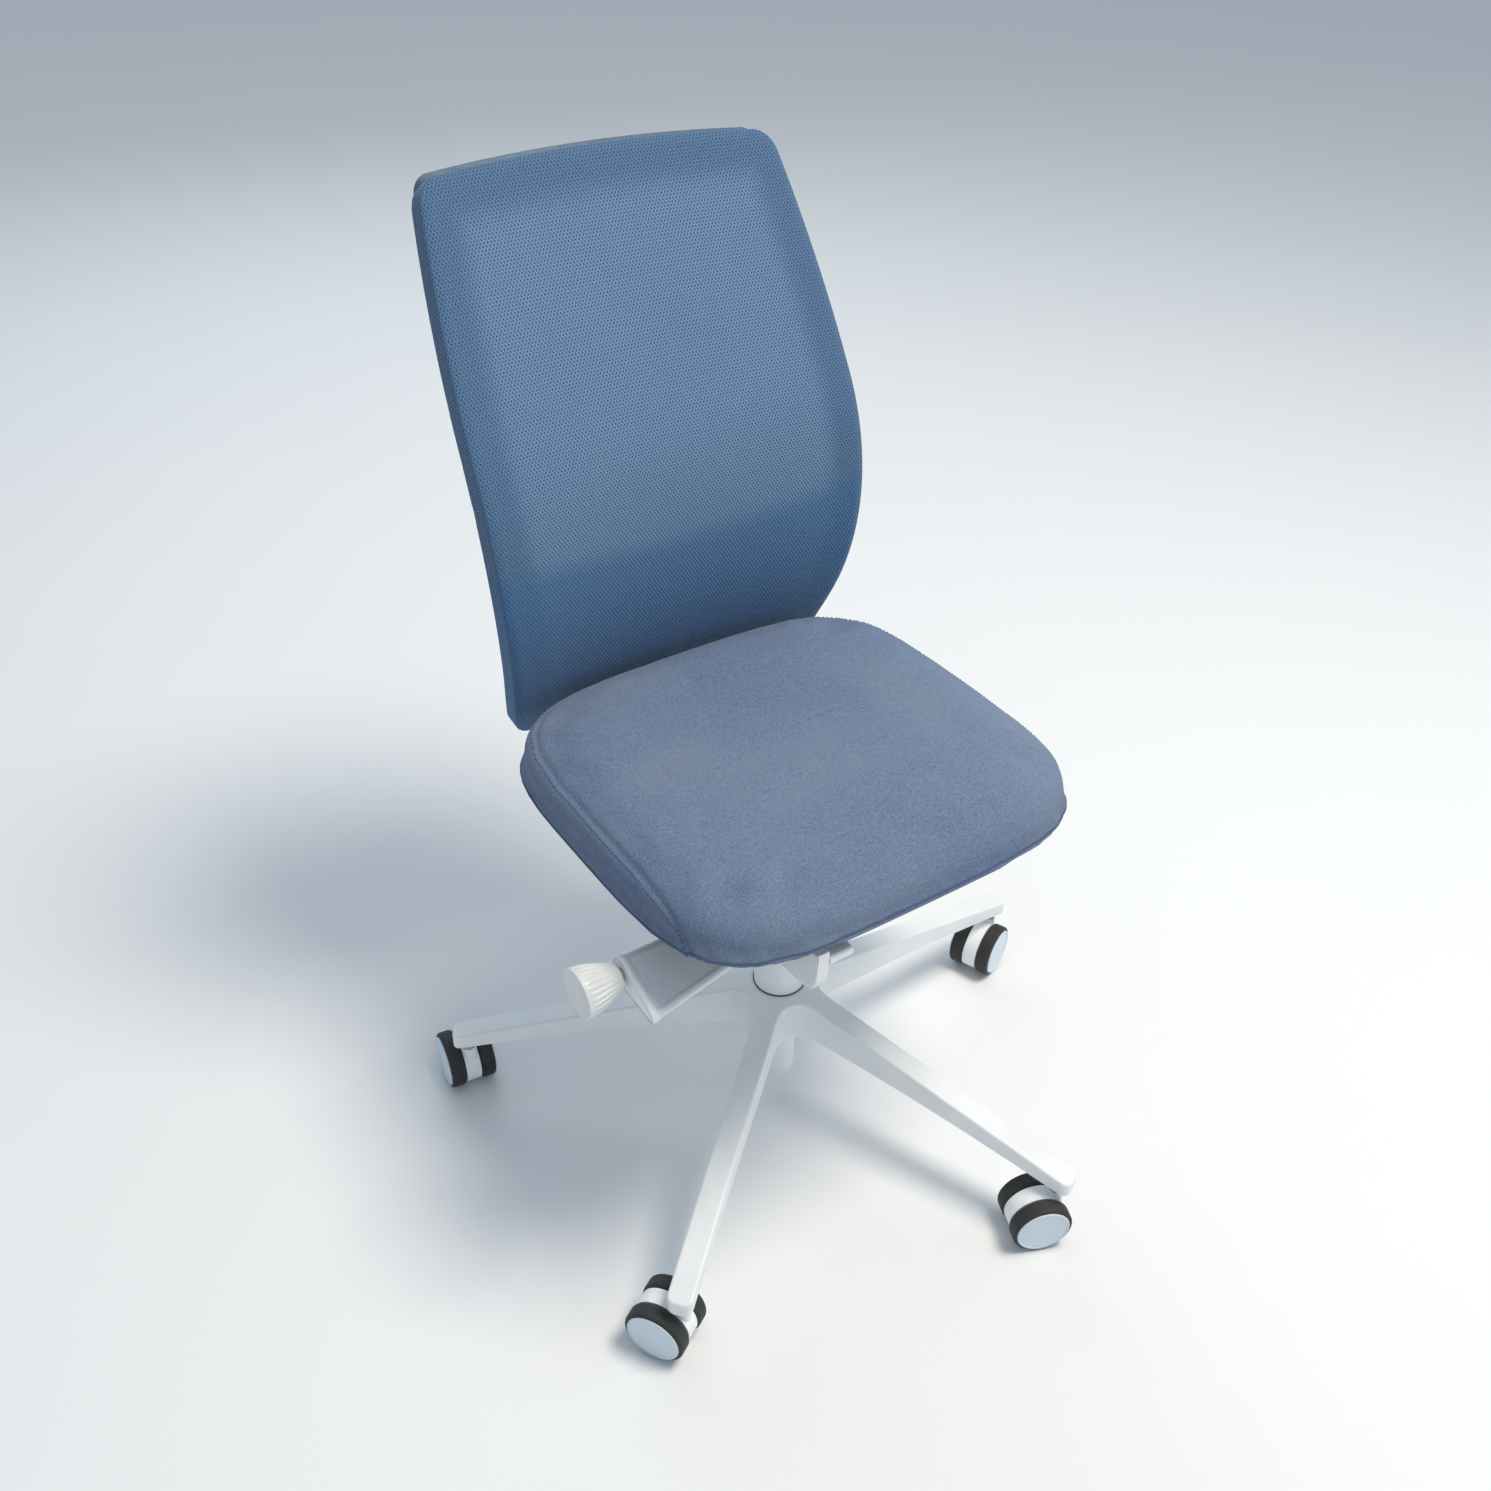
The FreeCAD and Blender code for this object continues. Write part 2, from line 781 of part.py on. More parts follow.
def tension_spring():
    """Torsion coil around the back's shaft, inside the housing."""
    wire, mean, pitch, turns = 1.8, 10.6, 5.2, 12
    helix = Part.makeHelix(pitch, pitch * turns, mean)
    ring = Part.Wire([Part.Edge(Part.Circle(Vector(mean, 0, 0), Y, wire))])
    coil = Part.Wire(helix).makePipeShell([ring], True, True)
    item = shape_part("tension_spring", coil)
    placed(item, -pitch * turns / 2, d.back_pivot_y.value, d.back_pivot_z.value,
           Rotation(Y, 90))


def height_paddle():
    """Wing-shaped release paddle, its journal, and the arm over the valve."""
    body = new_body("height_paddle")
    y, z = d.lever_axis_y, d.lever_axis_z
    drop = d.paddle_lip_drop

    def section(chord, shrink, x):
        """Teardrop across the paddle: round over the axis, thin lip in front."""
        tip = y - chord
        barrel, lip = d.paddle_barrel - shrink, d.paddle_lip - shrink
        return outline_sketch(body, "YZ_Plane", [
            (y, z + barrel),
            (tip, z - drop + lip),
            (tip - lip, z - drop, lip, 1),
            (tip, z - drop - lip, lip, 1),
            (y, z - barrel),
            (y + barrel, z, barrel, 1),
            (y, z + barrel, barrel, 1),
        ][1:], x)

    bevel = d.paddle_bevel
    wing = body.newObject("PartDesign::AdditiveLoft", "Wing")
    wing.Profile = section(d.paddle_chord_inner, 0, -d.paddle_inner)
    wing.Sections = [
        section(d.paddle_chord, 0, -d.paddle_outer + bevel),
        section(d.paddle_chord, bevel, -d.paddle_outer),
    ]
    wing.Ruled = True
    body.Tip = wing
    journal = circle_sketch(body, "YZ_Plane", y, z, d.journal_radius, -d.paddle_inner - 5)
    pad(body, journal, d.paddle_inner + 12)
    arm_top = d.cylinder_top + d.pin_proud + 0.3 + 4
    arm = outline_sketch(body, "XY_Plane",
                         rounded_rectangle(as_size(-7), as_size(7), y, as_size(7), as_size(3)),
                         arm_top - 4)
    pad(body, arm, 4)
    bore = circle_sketch(body, "YZ_Plane", y, z, d.knob_shaft_radius + d.running_gap)
    pocket(body, bore, both_ways=True)
    return body


def tension_knob():
    """Fluted cone at the end of a long shaft; local Z runs outboard."""
    body = new_body("tension_knob")
    small, large, length = d.knob_small_radius, d.knob_large_radius, d.knob_length
    shaft = d.knob_shaft_radius
    profile = [
        (0, -(d.paddle_outer - 30)),
        (shaft, -(d.paddle_outer - 30)),
        (shaft, -4.5),
        (shaft + 5, -4.5),
        (shaft + 5, 0),
        (small, 0),
        (large - 1, length - 6, 90, 1),
        (large, length - 2),
        (large - 1.5, length),
        (0, length),
    ]
    revolve(body, outline_sketch(body, "XZ_Plane", profile))
    flute_depth = 1.1
    groove = new_sketch(body, "XY_Plane", length - 5)
    add_circle(groove, large + 1.2, 0, 1.2 + flute_depth)
    cut = pocket(body, groove, length + 10)
    polar_pattern(body, cut, int(d.knob_flutes.value))
    placed(body, -(d.paddle_outer + 5).value, d.lever_axis_y.value, d.lever_axis_z.value,
           Rotation(Y, -90))


# ---------------------------------------------------------------- seat

seat_tilt = Rotation(X, -d.seat_lean.value)
seat_place = Placement(Vector(0, 0, d.seat_rise.value), seat_tilt)


def superellipse(half_width, half_depth, power, count=48):
    """Closed smooth outline |x/a|^n + |y/b|^n = 1."""
    points = []
    for step in range(count):
        angle = 2 * math.pi * (step + 0.5) / count
        cosine_, sine_ = math.cos(angle), math.sin(angle)
        x = math.copysign(abs(cosine_) ** (2 / power), cosine_) * half_width
        y = math.copysign(abs(sine_) ** (2 / power), sine_) * half_depth
        points.append(Vector(x, y, 0))
    curve = Part.BSplineCurve()
    curve.interpolate(points, PeriodicFlag=True)
    return Part.Wire([curve.toShape()])


def seat_outline(inset):
    return superellipse(d.seat_half_width.value - inset, d.seat_half_depth.value - inset,
                        d.seat_squareness.value)


def screw_places():
    """Four screws that hold the pan on the carrier, in the pan's own frame."""
    x = d.carrier_half.value - 14
    return [(sx * x, y) for sx in (-1, 1)
            for y in (-(d.carrier_front.value - 16), d.carrier_rear.value - 16)]


def arm_bolt_places():
    """Three holes on a circle at each side, for an optional armrest."""
    places = []
    for side in (-1, 1):
        for step in range(3):
            angle = math.radians(90 + 120 * step)
            radius = d.arm_bolt_circle.value / 2
            places.append((side * d.arm_bolt_x.value + radius * math.cos(angle),
                           radius * math.sin(angle)))
    return places


def seat_pan():
    thickness = d.pan_thickness.value
    plate = Part.Face(seat_outline(d.pan_inset.value)).extrude(Vector(0, 0, thickness))
    rim = [edge for edge in plate.Edges if abs(middle(edge).z) < 0.01]
    plate = plate.makeFillet(min(3.0, thickness * 0.4), rim)
    for x, y in screw_places():
        hole = Part.makeCylinder(d.screw_radius.value + 0.1, thickness + 2, Vector(x, y, -1))
        plate = plate.cut(hole)
    for x, y in arm_bolt_places():
        hole = Part.makeCylinder(d.arm_bolt_radius.value, thickness + 2, Vector(x, y, -1))
        plate = plate.cut(hole)
    shape_part("seat_pan", plate).Placement = seat_place


def seat_cushion():
    """Plain closed body of the upholstered cushion."""
    thickness = d.cushion_thickness.value
    edge_radius = d.cushion_edge.value
    block = Part.Face(seat_outline(0.0)).extrude(Vector(0, 0, thickness))
    top = [edge for edge in block.Edges if abs(middle(edge).z - thickness) < 0.01]
    block = block.makeFillet(edge_radius, top)
    bottom = [edge for edge in block.Edges if abs(middle(edge).z) < 0.01]
    block = block.makeFillet(5.0, bottom)
    item = shape_part("seat_cushion", block)
    lift = Vector(0, 0, d.pan_thickness.value)
    item.Placement = seat_place * Placement(lift, Rotation())


def seat_carrier():
    """Plate under the pan with two cheeks that hang on the front shaft."""
    body = new_body("seat_carrier")
    lean = tangent(d.seat_lean)
    front, rear = -d.carrier_front, d.carrier_rear
    top, thick = d.seat_rise, d.carrier_thickness
    plate = outline_sketch(body, "YZ_Plane", [
        (front, top - front * lean - thick),
        (rear, top - rear * lean - thick),
        (rear, top - rear * lean),
        (front, top - front * lean),
    ])
    pad(body, plate, d.carrier_half * 2, both_ways=True)
    y, z = d.seat_pivot_y, d.seat_pivot_z
    cheek = 13
    block = outline_sketch(body, "YZ_Plane", [
        (y + cheek, z),
        (y + cheek, top - thick / 2),
        (y - cheek, top - thick / 2),
        (y - cheek, z),
        (y, z - cheek, cheek, 1),
        (y + cheek, z, cheek, 1),
    ][1:])
    inside = d.housing_half + d.side_gap
    pad(body, block, (inside + d.cheek_thickness) * 2, both_ways=True)
    slot = outline_sketch(body, "YZ_Plane", [
        (y - cheek * 2, z - cheek * 2),
        (y + cheek * 2, z - cheek * 2),
        (y + cheek * 2, top - thick * 2),
        (y - cheek * 2, top - thick * 2),
    ])
    pocket(body, slot, inside * 2, both_ways=True)
    cross_hole(body, y, z, d.seat_shaft_radius + d.running_gap)
    for x, hole_y in screw_places():
        hole = circle_sketch(body, "XY_Plane", Size(x, "(%.6g)" % x),
                             Size(hole_y, "(%.6g)" % hole_y), d.screw_radius + 0.1,
                             d.seat_rise + 10)
        pocket(body, hole, 30)
    return body


def seat_screws():
    """Four button-head screws from below, through the carrier into the pan."""
    thick, radius = d.carrier_thickness.value, d.screw_radius.value
    pieces = []
    for x, y in screw_places():
        shank = Part.makeCylinder(radius, thick + d.pan_thickness.value - 1,
                                  Vector(x, y, -thick))
        head = Part.makeCylinder(radius * 1.8, 3, Vector(x, y, -thick - 3.1))
        dome = [edge for edge in head.Edges if abs(middle(edge).z + thick + 3.1) < 0.01]
        pieces.append(shank.fuse(head.makeFillet(1.5, dome[:1])).removeSplitter())
    shape_part("seat_screws", Part.makeCompound(pieces)).Placement = seat_place


def tilt_lock():
    """Rounded lug under the pan's front edge with a short handle beside it."""
    body = new_body("lock_bracket")
    lean = tangent(d.seat_lean)
    front, rear, bottom = -d.lock_front, -d.lock_rear, d.lock_bottom
    top_front = d.seat_rise - front * lean - 0.2
    top_rear = d.seat_rise - rear * lean - 0.2
    round_front = 20
    lug = outline_sketch(body, "YZ_Plane", [
        (rear, bottom - 4),
        (rear, top_rear),
        (front, top_front),
        (front, bottom + round_front),
        (front + round_front, bottom, round_front, 1),
    ], -d.lock_x)
    pad(body, lug, d.lock_width)
    face_x = -(d.lock_x).value
    round_edges(body, 2, lambda edge: abs(middle(edge).x - face_x) < 0.01)

    handle = new_body("lock_lever")
    x_low = -d.lock_x + d.lock_width + 0.6
    axis_z = bottom + 36
    grip = outline_sketch(handle, "YZ_Plane", [
        (front + 4, axis_z - 5),
        (front + 30, axis_z - 5),
        (front + 35, axis_z, 5, 1),
        (front + 30, axis_z + 5, 5, 1),
        (front + 4, axis_z + 5),
        (front - 1, axis_z, 5, 1),
        (front + 4, axis_z - 5, 5, 1),
    ][1:], x_low)
    pad(handle, grip, d.lock_lever_length)
    end_x = (x_low + d.lock_lever_length).value
    round_edges(handle, 3.5, lambda edge: abs(middle(edge).x - end_x) < 0.01)


# ---------------------------------------------------------------- back

def back_profile(front_offset, rear_offset):
    """Side view of a skin that follows the back between two depths behind its face."""
    lower, upper = d.lower_lean, d.upper_lean
    half_turn = (lower + upper) / 2
    middle_lean = (upper - lower) / 2
    reach = d.lumbar_radius / cosine(half_turn)
    centre_y = d.lumbar_y + reach * cosine(middle_lean)
    centre_z = d.lumbar_z - reach * sine(middle_lean)
    low, high = d.back_bottom - 12, d.back_top + 30

    def side(offset):
        radius = d.lumbar_radius - offset
        tangent_low = (centre_y - radius * cosine(lower), centre_z - radius * sine(lower))
        tangent_high = (centre_y - radius * cosine(upper), centre_z + radius * sine(upper))
        foot = (tangent_low[0] + (tangent_low[1] - low) * tangent(lower), low)
        head = (tangent_high[0] + (high - tangent_high[1]) * tangent(upper), high)
        return foot, tangent_low, tangent_high, head, radius

    foot, low_point, high_point, head, radius = side(front_offset)
    rear_foot, rear_low, rear_high, rear_head, rear_radius = side(rear_offset)
    return [
        foot,
        rear_foot,
        rear_low,
        rear_high + (rear_radius, -1),
        rear_head,
        head,
        high_point,
        low_point + (radius, 1),
    ]


def bent_slab(body, front_offset, rear_offset):
    """The back's profile swept sideways on a wide arc, so that it wraps the sitter."""
    sketch = new_sketch(body, "YZ_Plane")
    add_outline(sketch, back_profile(front_offset, rear_offset))
    axis_y = d.lumbar_y - d.back_bend_radius
    line = Part.LineSegment(Vector(axis_y.value, 0, 0), Vector(axis_y.value, 100, 0))
    index = sketch.addGeometry(line, True)
    sketch.addConstraint(Sketcher.Constraint("Vertical", index))
    fix_coordinate(sketch, index, 1, "DistanceX", axis_y)
    sketch.addConstraint(Sketcher.Constraint("PointOnObject", index, 1, -1))
    length = sketch.addConstraint(Sketcher.Constraint("Distance", index, 100.0))
    sketch.setDatum(length, 100.0)
    revolve(body, sketch, "Axis0", 23, both_ways=True)


def back_outline(inset, corner):
    """Front view of the back: bowed sides, a slightly crowned top, rounded corners."""
    low, high = d.back_bottom + inset, d.back_top - inset
    wide_low, wide_high = d.back_half_bottom - inset, d.back_half_top - inset
    side, crown = d.back_side_radius - inset, d.back_crown_radius - inset
    run_x, run_z = wide_high - wide_low, high - low
    span = root(run_x * run_x + run_z * run_z)
    inward = root(side * side - span * span / 4) / span
    centre_x = (wide_high + wide_low) / 2 - run_z * inward
    centre_z = (high + low) / 2 + run_x * inward
    crown_z = high - root(crown * crown - wide_high * wide_high)
    trim = corner * 0.85

    def on_side(z):
        return centre_x + root(side * side - (z - centre_z) * (z - centre_z))

    def on_crown(x):
        return crown_z + root(crown * crown - x * x)

    side_low, side_high = on_side(low + trim), on_side(high - trim)
    top_x = wide_high - trim
    return [
        (-(wide_low - trim), low),
        (wide_low - trim, low),
        (side_low, low + trim, corner, 1),
        (side_high, high - trim, side, 1),
        (top_x, on_crown(top_x), corner, 1),
        (-top_x, on_crown(top_x), crown, 1),
        (-side_high, high - trim, corner, 1),
        (-side_low, low + trim, side, 1),
        (-(wide_low - trim), low, corner, 1),
    ][1:]


def trim_to_outline(body, inset, corner):
    """Cut away everything outside the back's outline."""
    sketch = new_sketch(body, "XZ_Plane")
    margin = 120
    wide = d.back_half_top + margin
    add_outline(sketch, [
        (-wide, d.back_bottom - margin),
        (wide, d.back_bottom - margin),
        (wide, d.back_top + margin),
        (-wide, d.back_top + margin),
    ])
    add_outline(sketch, back_outline(inset, corner))
    pocket(body, sketch, both_ways=True)


def back_mesh():
    body = new_body("back_mesh")
    bent_slab(body, as_size(0), d.mesh_thickness)
    trim_to_outline(body, as_size(0), d.back_corner)


def back_frame():
    """Perimeter frame that the knit is stretched over."""
    body = new_body("back_frame")
    front = d.mesh_thickness + d.skin_gap
    bent_slab(body, front, front + d.frame_thickness)
    trim_to_outline(body, d.frame_inset, d.back_corner - d.frame_inset)
    window = back_outline(d.frame_inset + d.frame_band, d.window_corner)
    pocket(body, outline_sketch(body, "XZ_Plane", window), both_ways=True)


def back_upright():
    """Y-shaped spine: ears on the shaft, a stem, and two arms behind the frame."""
    body = new_body("back_upright")
    front = d.mesh_thickness + d.frame_thickness + d.skin_gap * 2
    bent_slab(body, front, front + d.upright_thickness)
    stem, arm_z, arm_half = d.upright_half, d.upright_arm_z, d.upright_arm_half
    reach = d.back_half_top - 2
    low = d.back_bottom - 8
    sketch = new_sketch(body, "XZ_Plane")
    margin = 150
    add_outline(sketch, [
        (-(reach + margin), low - margin),
        (reach + margin, low - margin),
        (reach + margin, d.back_top + margin),
        (-(reach + margin), d.back_top + margin),
    ])
    fork = arm_z - 90
    bend = 70
    add_outline(sketch, [
        (stem, low),
        (stem, fork - 20),
        (stem + bend, fork + 30, bend * 1.2, -1),
        (reach, arm_z - arm_half),
        (reach, arm_z + arm_half),
        (stem + bend, fork + 80),
        (-(stem + bend), fork + 80, bend * 3.4, -1),
        (-reach, arm_z + arm_half),
        (-reach, arm_z - arm_half),
        (-(stem + bend), fork + 30),
        (-stem, fork - 20, bend * 1.2, -1),
        (-stem, low),
    ])
    pocket(body, sketch, both_ways=True)

    lean = tangent(d.lower_lean)
    plate_front = d.lumbar_y + front / cosine(d.lower_lean)
    plate_rear = d.lumbar_y + (front + d.upright_thickness) / cosine(d.lower_lean)

    def on_plate(base, z):
        return (base + (d.lumbar_z - z) * lean, z)

    pivot_y, pivot_z, ear = d.back_pivot_y, d.back_pivot_z, d.ear_radius
    inner_y = pivot_y + 34
    join = d.back_bottom + 42
    bar_top, bar_low = pivot_z + 8, pivot_z - 17

    def up_plate(corner, distance):
        y, z = corner
        return (y - distance * sine(d.lower_lean), z + distance * cosine(d.lower_lean))

    half_turn = tangent((90 + d.lower_lean) / 2)
    inner_run = d.bend_inner_radius * half_turn
    outer_run = d.bend_outer_radius * half_turn
    inner_corner = on_plate(plate_front, bar_top)
    outer_corner = on_plate(plate_rear, bar_low)
    side = outline_sketch(body, "YZ_Plane", [
        (inner_y, bar_top),
        (inner_corner[0] - inner_run, bar_top),
        up_plate(inner_corner, inner_run) + (d.bend_inner_radius, 1),
        on_plate(plate_front, join),
        on_plate(plate_rear, join),
        up_plate(outer_corner, outer_run),
        (outer_corner[0] - outer_run, bar_low, d.bend_outer_radius, -1),
        (inner_y, bar_low),
    ])
    pad(body, side, stem * 2, both_ways=True)
    ears = outline_sketch(body, "YZ_Plane", [
        (pivot_y, pivot_z - ear),
        (inner_y + 26, pivot_z - ear - 1),
        (inner_y + 26, pivot_z + ear - 6),
        (pivot_y, pivot_z + ear),
        (pivot_y - ear, pivot_z, ear, 1),
        (pivot_y, pivot_z - ear, ear, 1),
    ][1:])
    inside = d.housing_half + d.side_gap
    pad(body, ears, (inside + d.ear_thickness) * 2, both_ways=True)
    slot = outline_sketch(body, "YZ_Plane", [
        (pivot_y - ear * 2, pivot_z - ear * 3),
        (inner_y, pivot_z - ear * 3),
        (inner_y, pivot_z + ear * 3),
        (pivot_y - ear * 2, pivot_z + ear * 3),
    ])
    pocket(body, slot, inside * 2, both_ways=True)
    cross_hole(body, pivot_y, pivot_z, d.back_shaft_radius + d.running_gap)
    return body


star_base()
for number in range(1, ARM_COUNT + 1):
    angle = d.first_arm_angle.value + 360.0 / ARM_COUNT * (number - 1)
    caster(number, angle, CASTER_HEADINGS[number - 1])
column()
mechanism_housing()
mechanism_cover()
shaft_reach = d.housing_half + d.side_gap + d.ear_thickness
cross_shaft("back_pivot_shaft", d.back_pivot_y, d.back_pivot_z, d.back_shaft_radius, shaft_reach)
cross_shaft("seat_pivot_shaft", d.seat_pivot_y, d.seat_pivot_z, d.seat_shaft_radius,
            d.housing_half + d.side_gap + d.cheek_thickness)
tension_spring()
height_paddle()
tension_knob()
seat_carrier()
seat_pan()
seat_cushion()
seat_screws()
tilt_lock()
back_mesh()
back_frame()
back_upright()

doc.recompute()

for item in doc.Objects:
    if "Invalid" in item.State or "Error" in item.State:
        raise RuntimeError("%s (%s) failed: %s" % (item.Label, item.Name, item.State))
for item in parts:
    if item.Shape.isNull() or not item.Shape.isValid() or not item.Shape.Solids:
        raise RuntimeError("%s has no sound solid" % item.Label)

os.makedirs("parts", exist_ok=True)
for item in parts:
    item.Shape.exportStep("parts/%s.step" % item.Label)
print("%d sub-parts written" % len(parts))
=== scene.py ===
import json
import math

import bmesh
import bpy
import numpy as np
from mathutils import Matrix, Vector
from mathutils.bvhtree import BVHTree
from mathutils.kdtree import KDTree

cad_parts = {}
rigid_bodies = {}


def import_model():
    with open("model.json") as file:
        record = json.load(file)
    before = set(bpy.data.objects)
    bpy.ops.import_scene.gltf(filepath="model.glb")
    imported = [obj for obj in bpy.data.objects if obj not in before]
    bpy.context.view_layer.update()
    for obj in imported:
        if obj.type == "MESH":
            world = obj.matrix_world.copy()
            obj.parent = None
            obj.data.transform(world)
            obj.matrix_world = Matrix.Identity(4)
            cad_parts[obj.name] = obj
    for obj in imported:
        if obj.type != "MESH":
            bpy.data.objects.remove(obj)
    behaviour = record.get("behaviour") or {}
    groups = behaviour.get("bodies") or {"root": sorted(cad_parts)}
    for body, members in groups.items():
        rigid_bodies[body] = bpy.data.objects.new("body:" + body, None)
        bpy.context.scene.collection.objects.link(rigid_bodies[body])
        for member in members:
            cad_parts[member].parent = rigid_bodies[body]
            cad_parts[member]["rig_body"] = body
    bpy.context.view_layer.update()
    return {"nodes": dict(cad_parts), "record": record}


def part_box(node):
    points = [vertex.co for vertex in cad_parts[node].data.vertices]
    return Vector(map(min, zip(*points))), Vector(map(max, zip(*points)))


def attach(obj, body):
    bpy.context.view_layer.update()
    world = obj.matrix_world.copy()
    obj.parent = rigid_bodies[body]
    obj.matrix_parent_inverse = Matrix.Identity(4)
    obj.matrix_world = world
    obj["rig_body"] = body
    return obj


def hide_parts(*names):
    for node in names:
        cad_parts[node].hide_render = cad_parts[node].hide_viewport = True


# Armless swivel office chair. Metres. The sitter faces -Y, the right hand is towards -X.

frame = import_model()
record = frame["record"]
nodes = frame["nodes"]
scene = bpy.context.scene


# ---------------------------------------------------------------- shader tools

class Shader:
    """A material with a few one-line ways to add nodes to it."""

    def __init__(self, name):
        self.material = bpy.data.materials.new(name)
        self.material.use_nodes = True
        self.tree = self.material.node_tree
        self.surface = self.tree.nodes["Principled BSDF"]
        self.place = self.node("ShaderNodeTexCoord").outputs["Object"]

    def node(self, kind, **settings):
        node = self.tree.nodes.new(kind)
        for key, value in settings.items():
            setattr(node, key, value)
        return node

    def join(self, source, target):
        if isinstance(source, bpy.types.NodeSocket):
            self.tree.links.new(source, target)
        else:
            target.default_value = source

    def maths(self, operation, first, second=0.0, clamp=False):
        node = self.node("ShaderNodeMath", operation=operation, use_clamp=clamp)
        self.join(first, node.inputs[0])
        self.join(second, node.inputs[1])
        return node.outputs[0]

    def stretched(self, scale):
        node = self.node("ShaderNodeVectorMath", operation="MULTIPLY")
        self.join(self.place, node.inputs[0])
        node.inputs[1].default_value = scale
        return node.outputs[0]

    def noise(self, scale, detail=3.0, place=None):
        node = self.node("ShaderNodeTexNoise")
        self.join(place or self.place, node.inputs["Vector"])
        node.inputs["Scale"].default_value = scale
        node.inputs["Detail"].default_value = detail
        return node.outputs["Fac"]

    def spread(self, value, low, high, out_low=0.0, out_high=1.0):
        node = self.node("ShaderNodeMapRange", clamp=True)
        self.join(value, node.inputs["Value"])
        for name, number in (("From Min", low), ("From Max", high),
                             ("To Min", out_low), ("To Max", out_high)):
            node.inputs[name].default_value = number
        return node.outputs["Result"]

    def mix(self, share, first, second, blend="MIX"):
        node = self.node("ShaderNodeMix", data_type="RGBA", blend_type=blend)
        self.join(share, node.inputs["Factor"])
        self.join(colour(first), node.inputs["A"])
        self.join(colour(second), node.inputs["B"])
        return node.outputs["Result"]

    def bump(self, height, strength, distance, under=None):
        node = self.node("ShaderNodeBump")
        node.inputs["Strength"].default_value = strength
        node.inputs["Distance"].default_value = distance
        self.join(height, node.inputs["Height"])
        if under is not None:
            self.join(under, node.inputs["Normal"])
        self.join(node.outputs["Normal"], self.surface.inputs["Normal"])
        return node.outputs["Normal"]


def colour(value):
    return (*value, 1.0) if isinstance(value, tuple) and len(value) == 3 else value


def moulded(name, base, rough=0.42, grain=0.25, dirt=0.06, metallic=0.0, coat=0.0):
    """Moulded plastic or painted metal: fine grain, faint mottling, scuffed edges."""
    s = Shader(name)
    darker = tuple(channel * (1 - dirt * 2.2) for channel in base)
    mottle = s.spread(s.noise(14.0, 4.0), 0.38, 0.66)
    streaks = s.spread(s.noise(60.0, 5.0, s.stretched((1.0, 1.0, 0.25))), 0.55, 0.75, 0.0, 0.5)
    shade = s.mix(s.maths("MULTIPLY", mottle, 0.55), base, darker)
    shade = s.mix(streaks, shade, tuple(channel * (1 - dirt) for channel in base))
    edge = s.spread(s.node("ShaderNodeNewGeometry").outputs["Pointiness"], 0.52, 0.6, 0.0, 0.35)
    worn = tuple(min(channel * 1.12 + 0.02, 1.0) for channel in base)
    s.join(s.mix(edge, shade, worn), s.surface.inputs["Base Color"])
    roughness = s.spread(s.noise(90.0, 3.0), 0.3, 0.7, rough - 0.06, rough + 0.09)
    s.join(roughness, s.surface.inputs["Roughness"])
    s.surface.inputs["Metallic"].default_value = metallic
    s.surface.inputs["Coat Weight"].default_value = coat
    fine = s.bump(s.noise(1900.0, 2.0), grain, 0.00012)
    s.bump(s.noise(22.0, 2.0), 0.05, 0.002, fine)
    return s.material


def wave(s, direction, pitch):
    """A smooth ripple from 0 to 1 along an axis-like direction."""
    dot = s.node("ShaderNodeVectorMath", operation="DOT_PRODUCT")
    s.join(s.place, dot.inputs[0])
    dot.inputs[1].default_value = direction
    angle = s.maths("MULTIPLY", dot.outputs["Value"], 2 * math.pi / pitch)
    return s.maths("ADD", s.maths("MULTIPLY", s.maths("SINE", angle), 0.5), 0.5)


def heather_cloth():
    """Heathered plain weave: blue and grey yarns with slubs."""
    s = Shader("seat_weave")
    pitch = 0.0016
    warp = wave(s, (1.0, 0.0, 1.0), pitch)
    weft = wave(s, (0.0, 1.0, 1.0), pitch)
    over = s.maths("MULTIPLY", warp, weft)
    under = s.maths("MULTIPLY", s.maths("SUBTRACT", 1.0, warp), s.maths("SUBTRACT", 1.0, weft))
    weave = s.maths("ADD", over, under, clamp=True)
    slub_x = s.noise(620.0, 2.0, s.stretched((0.3, 1.8, 1.4)))
    slub_y = s.noise(620.0, 2.0, s.stretched((1.8, 0.3, 1.4)))
    fleck = s.spread(s.noise(1500.0, 2.0), 0.35, 0.68)
    blue, grey, deep = (0.140, 0.220, 0.385), (0.270, 0.330, 0.420), (0.060, 0.105, 0.215)
    shade = s.mix(s.spread(slub_x, 0.34, 0.66), blue, grey)
    shade = s.mix(s.spread(slub_y, 0.50, 0.72, 0.0, 0.7), shade, deep)
    shade = s.mix(s.maths("MULTIPLY", fleck, 0.25), shade, grey)
    shade = s.mix(s.maths("MULTIPLY", s.maths("SUBTRACT", 1.0, weave), 0.72), shade, deep)
    speck = s.spread(s.noise(900.0, 1.0), 0.56, 0.66, 0.0, 0.55)
    shade = s.mix(speck, shade, (0.045, 0.07, 0.15))
    worn = s.spread(s.noise(4.5, 3.0), 0.42, 0.62, 0.0, 0.16)
    shade = s.mix(worn, shade, (0.36, 0.41, 0.46))
    s.join(shade, s.surface.inputs["Base Color"])
    s.join(s.spread(fleck, 0.0, 1.0, 0.86, 0.97), s.surface.inputs["Roughness"])
    s.surface.inputs["Sheen Weight"].default_value = 0.10
    s.surface.inputs["Sheen Roughness"].default_value = 0.5
    s.surface.inputs["Specular IOR Level"].default_value = 0.22
    base = s.bump(weave, 0.75, 0.0005)
    fuzz = s.bump(s.noise(1400.0, 2.0), 0.35, 0.0003, base)
    s.bump(s.noise(9.0, 2.0), 0.04, 0.003, fuzz)
    return s.material


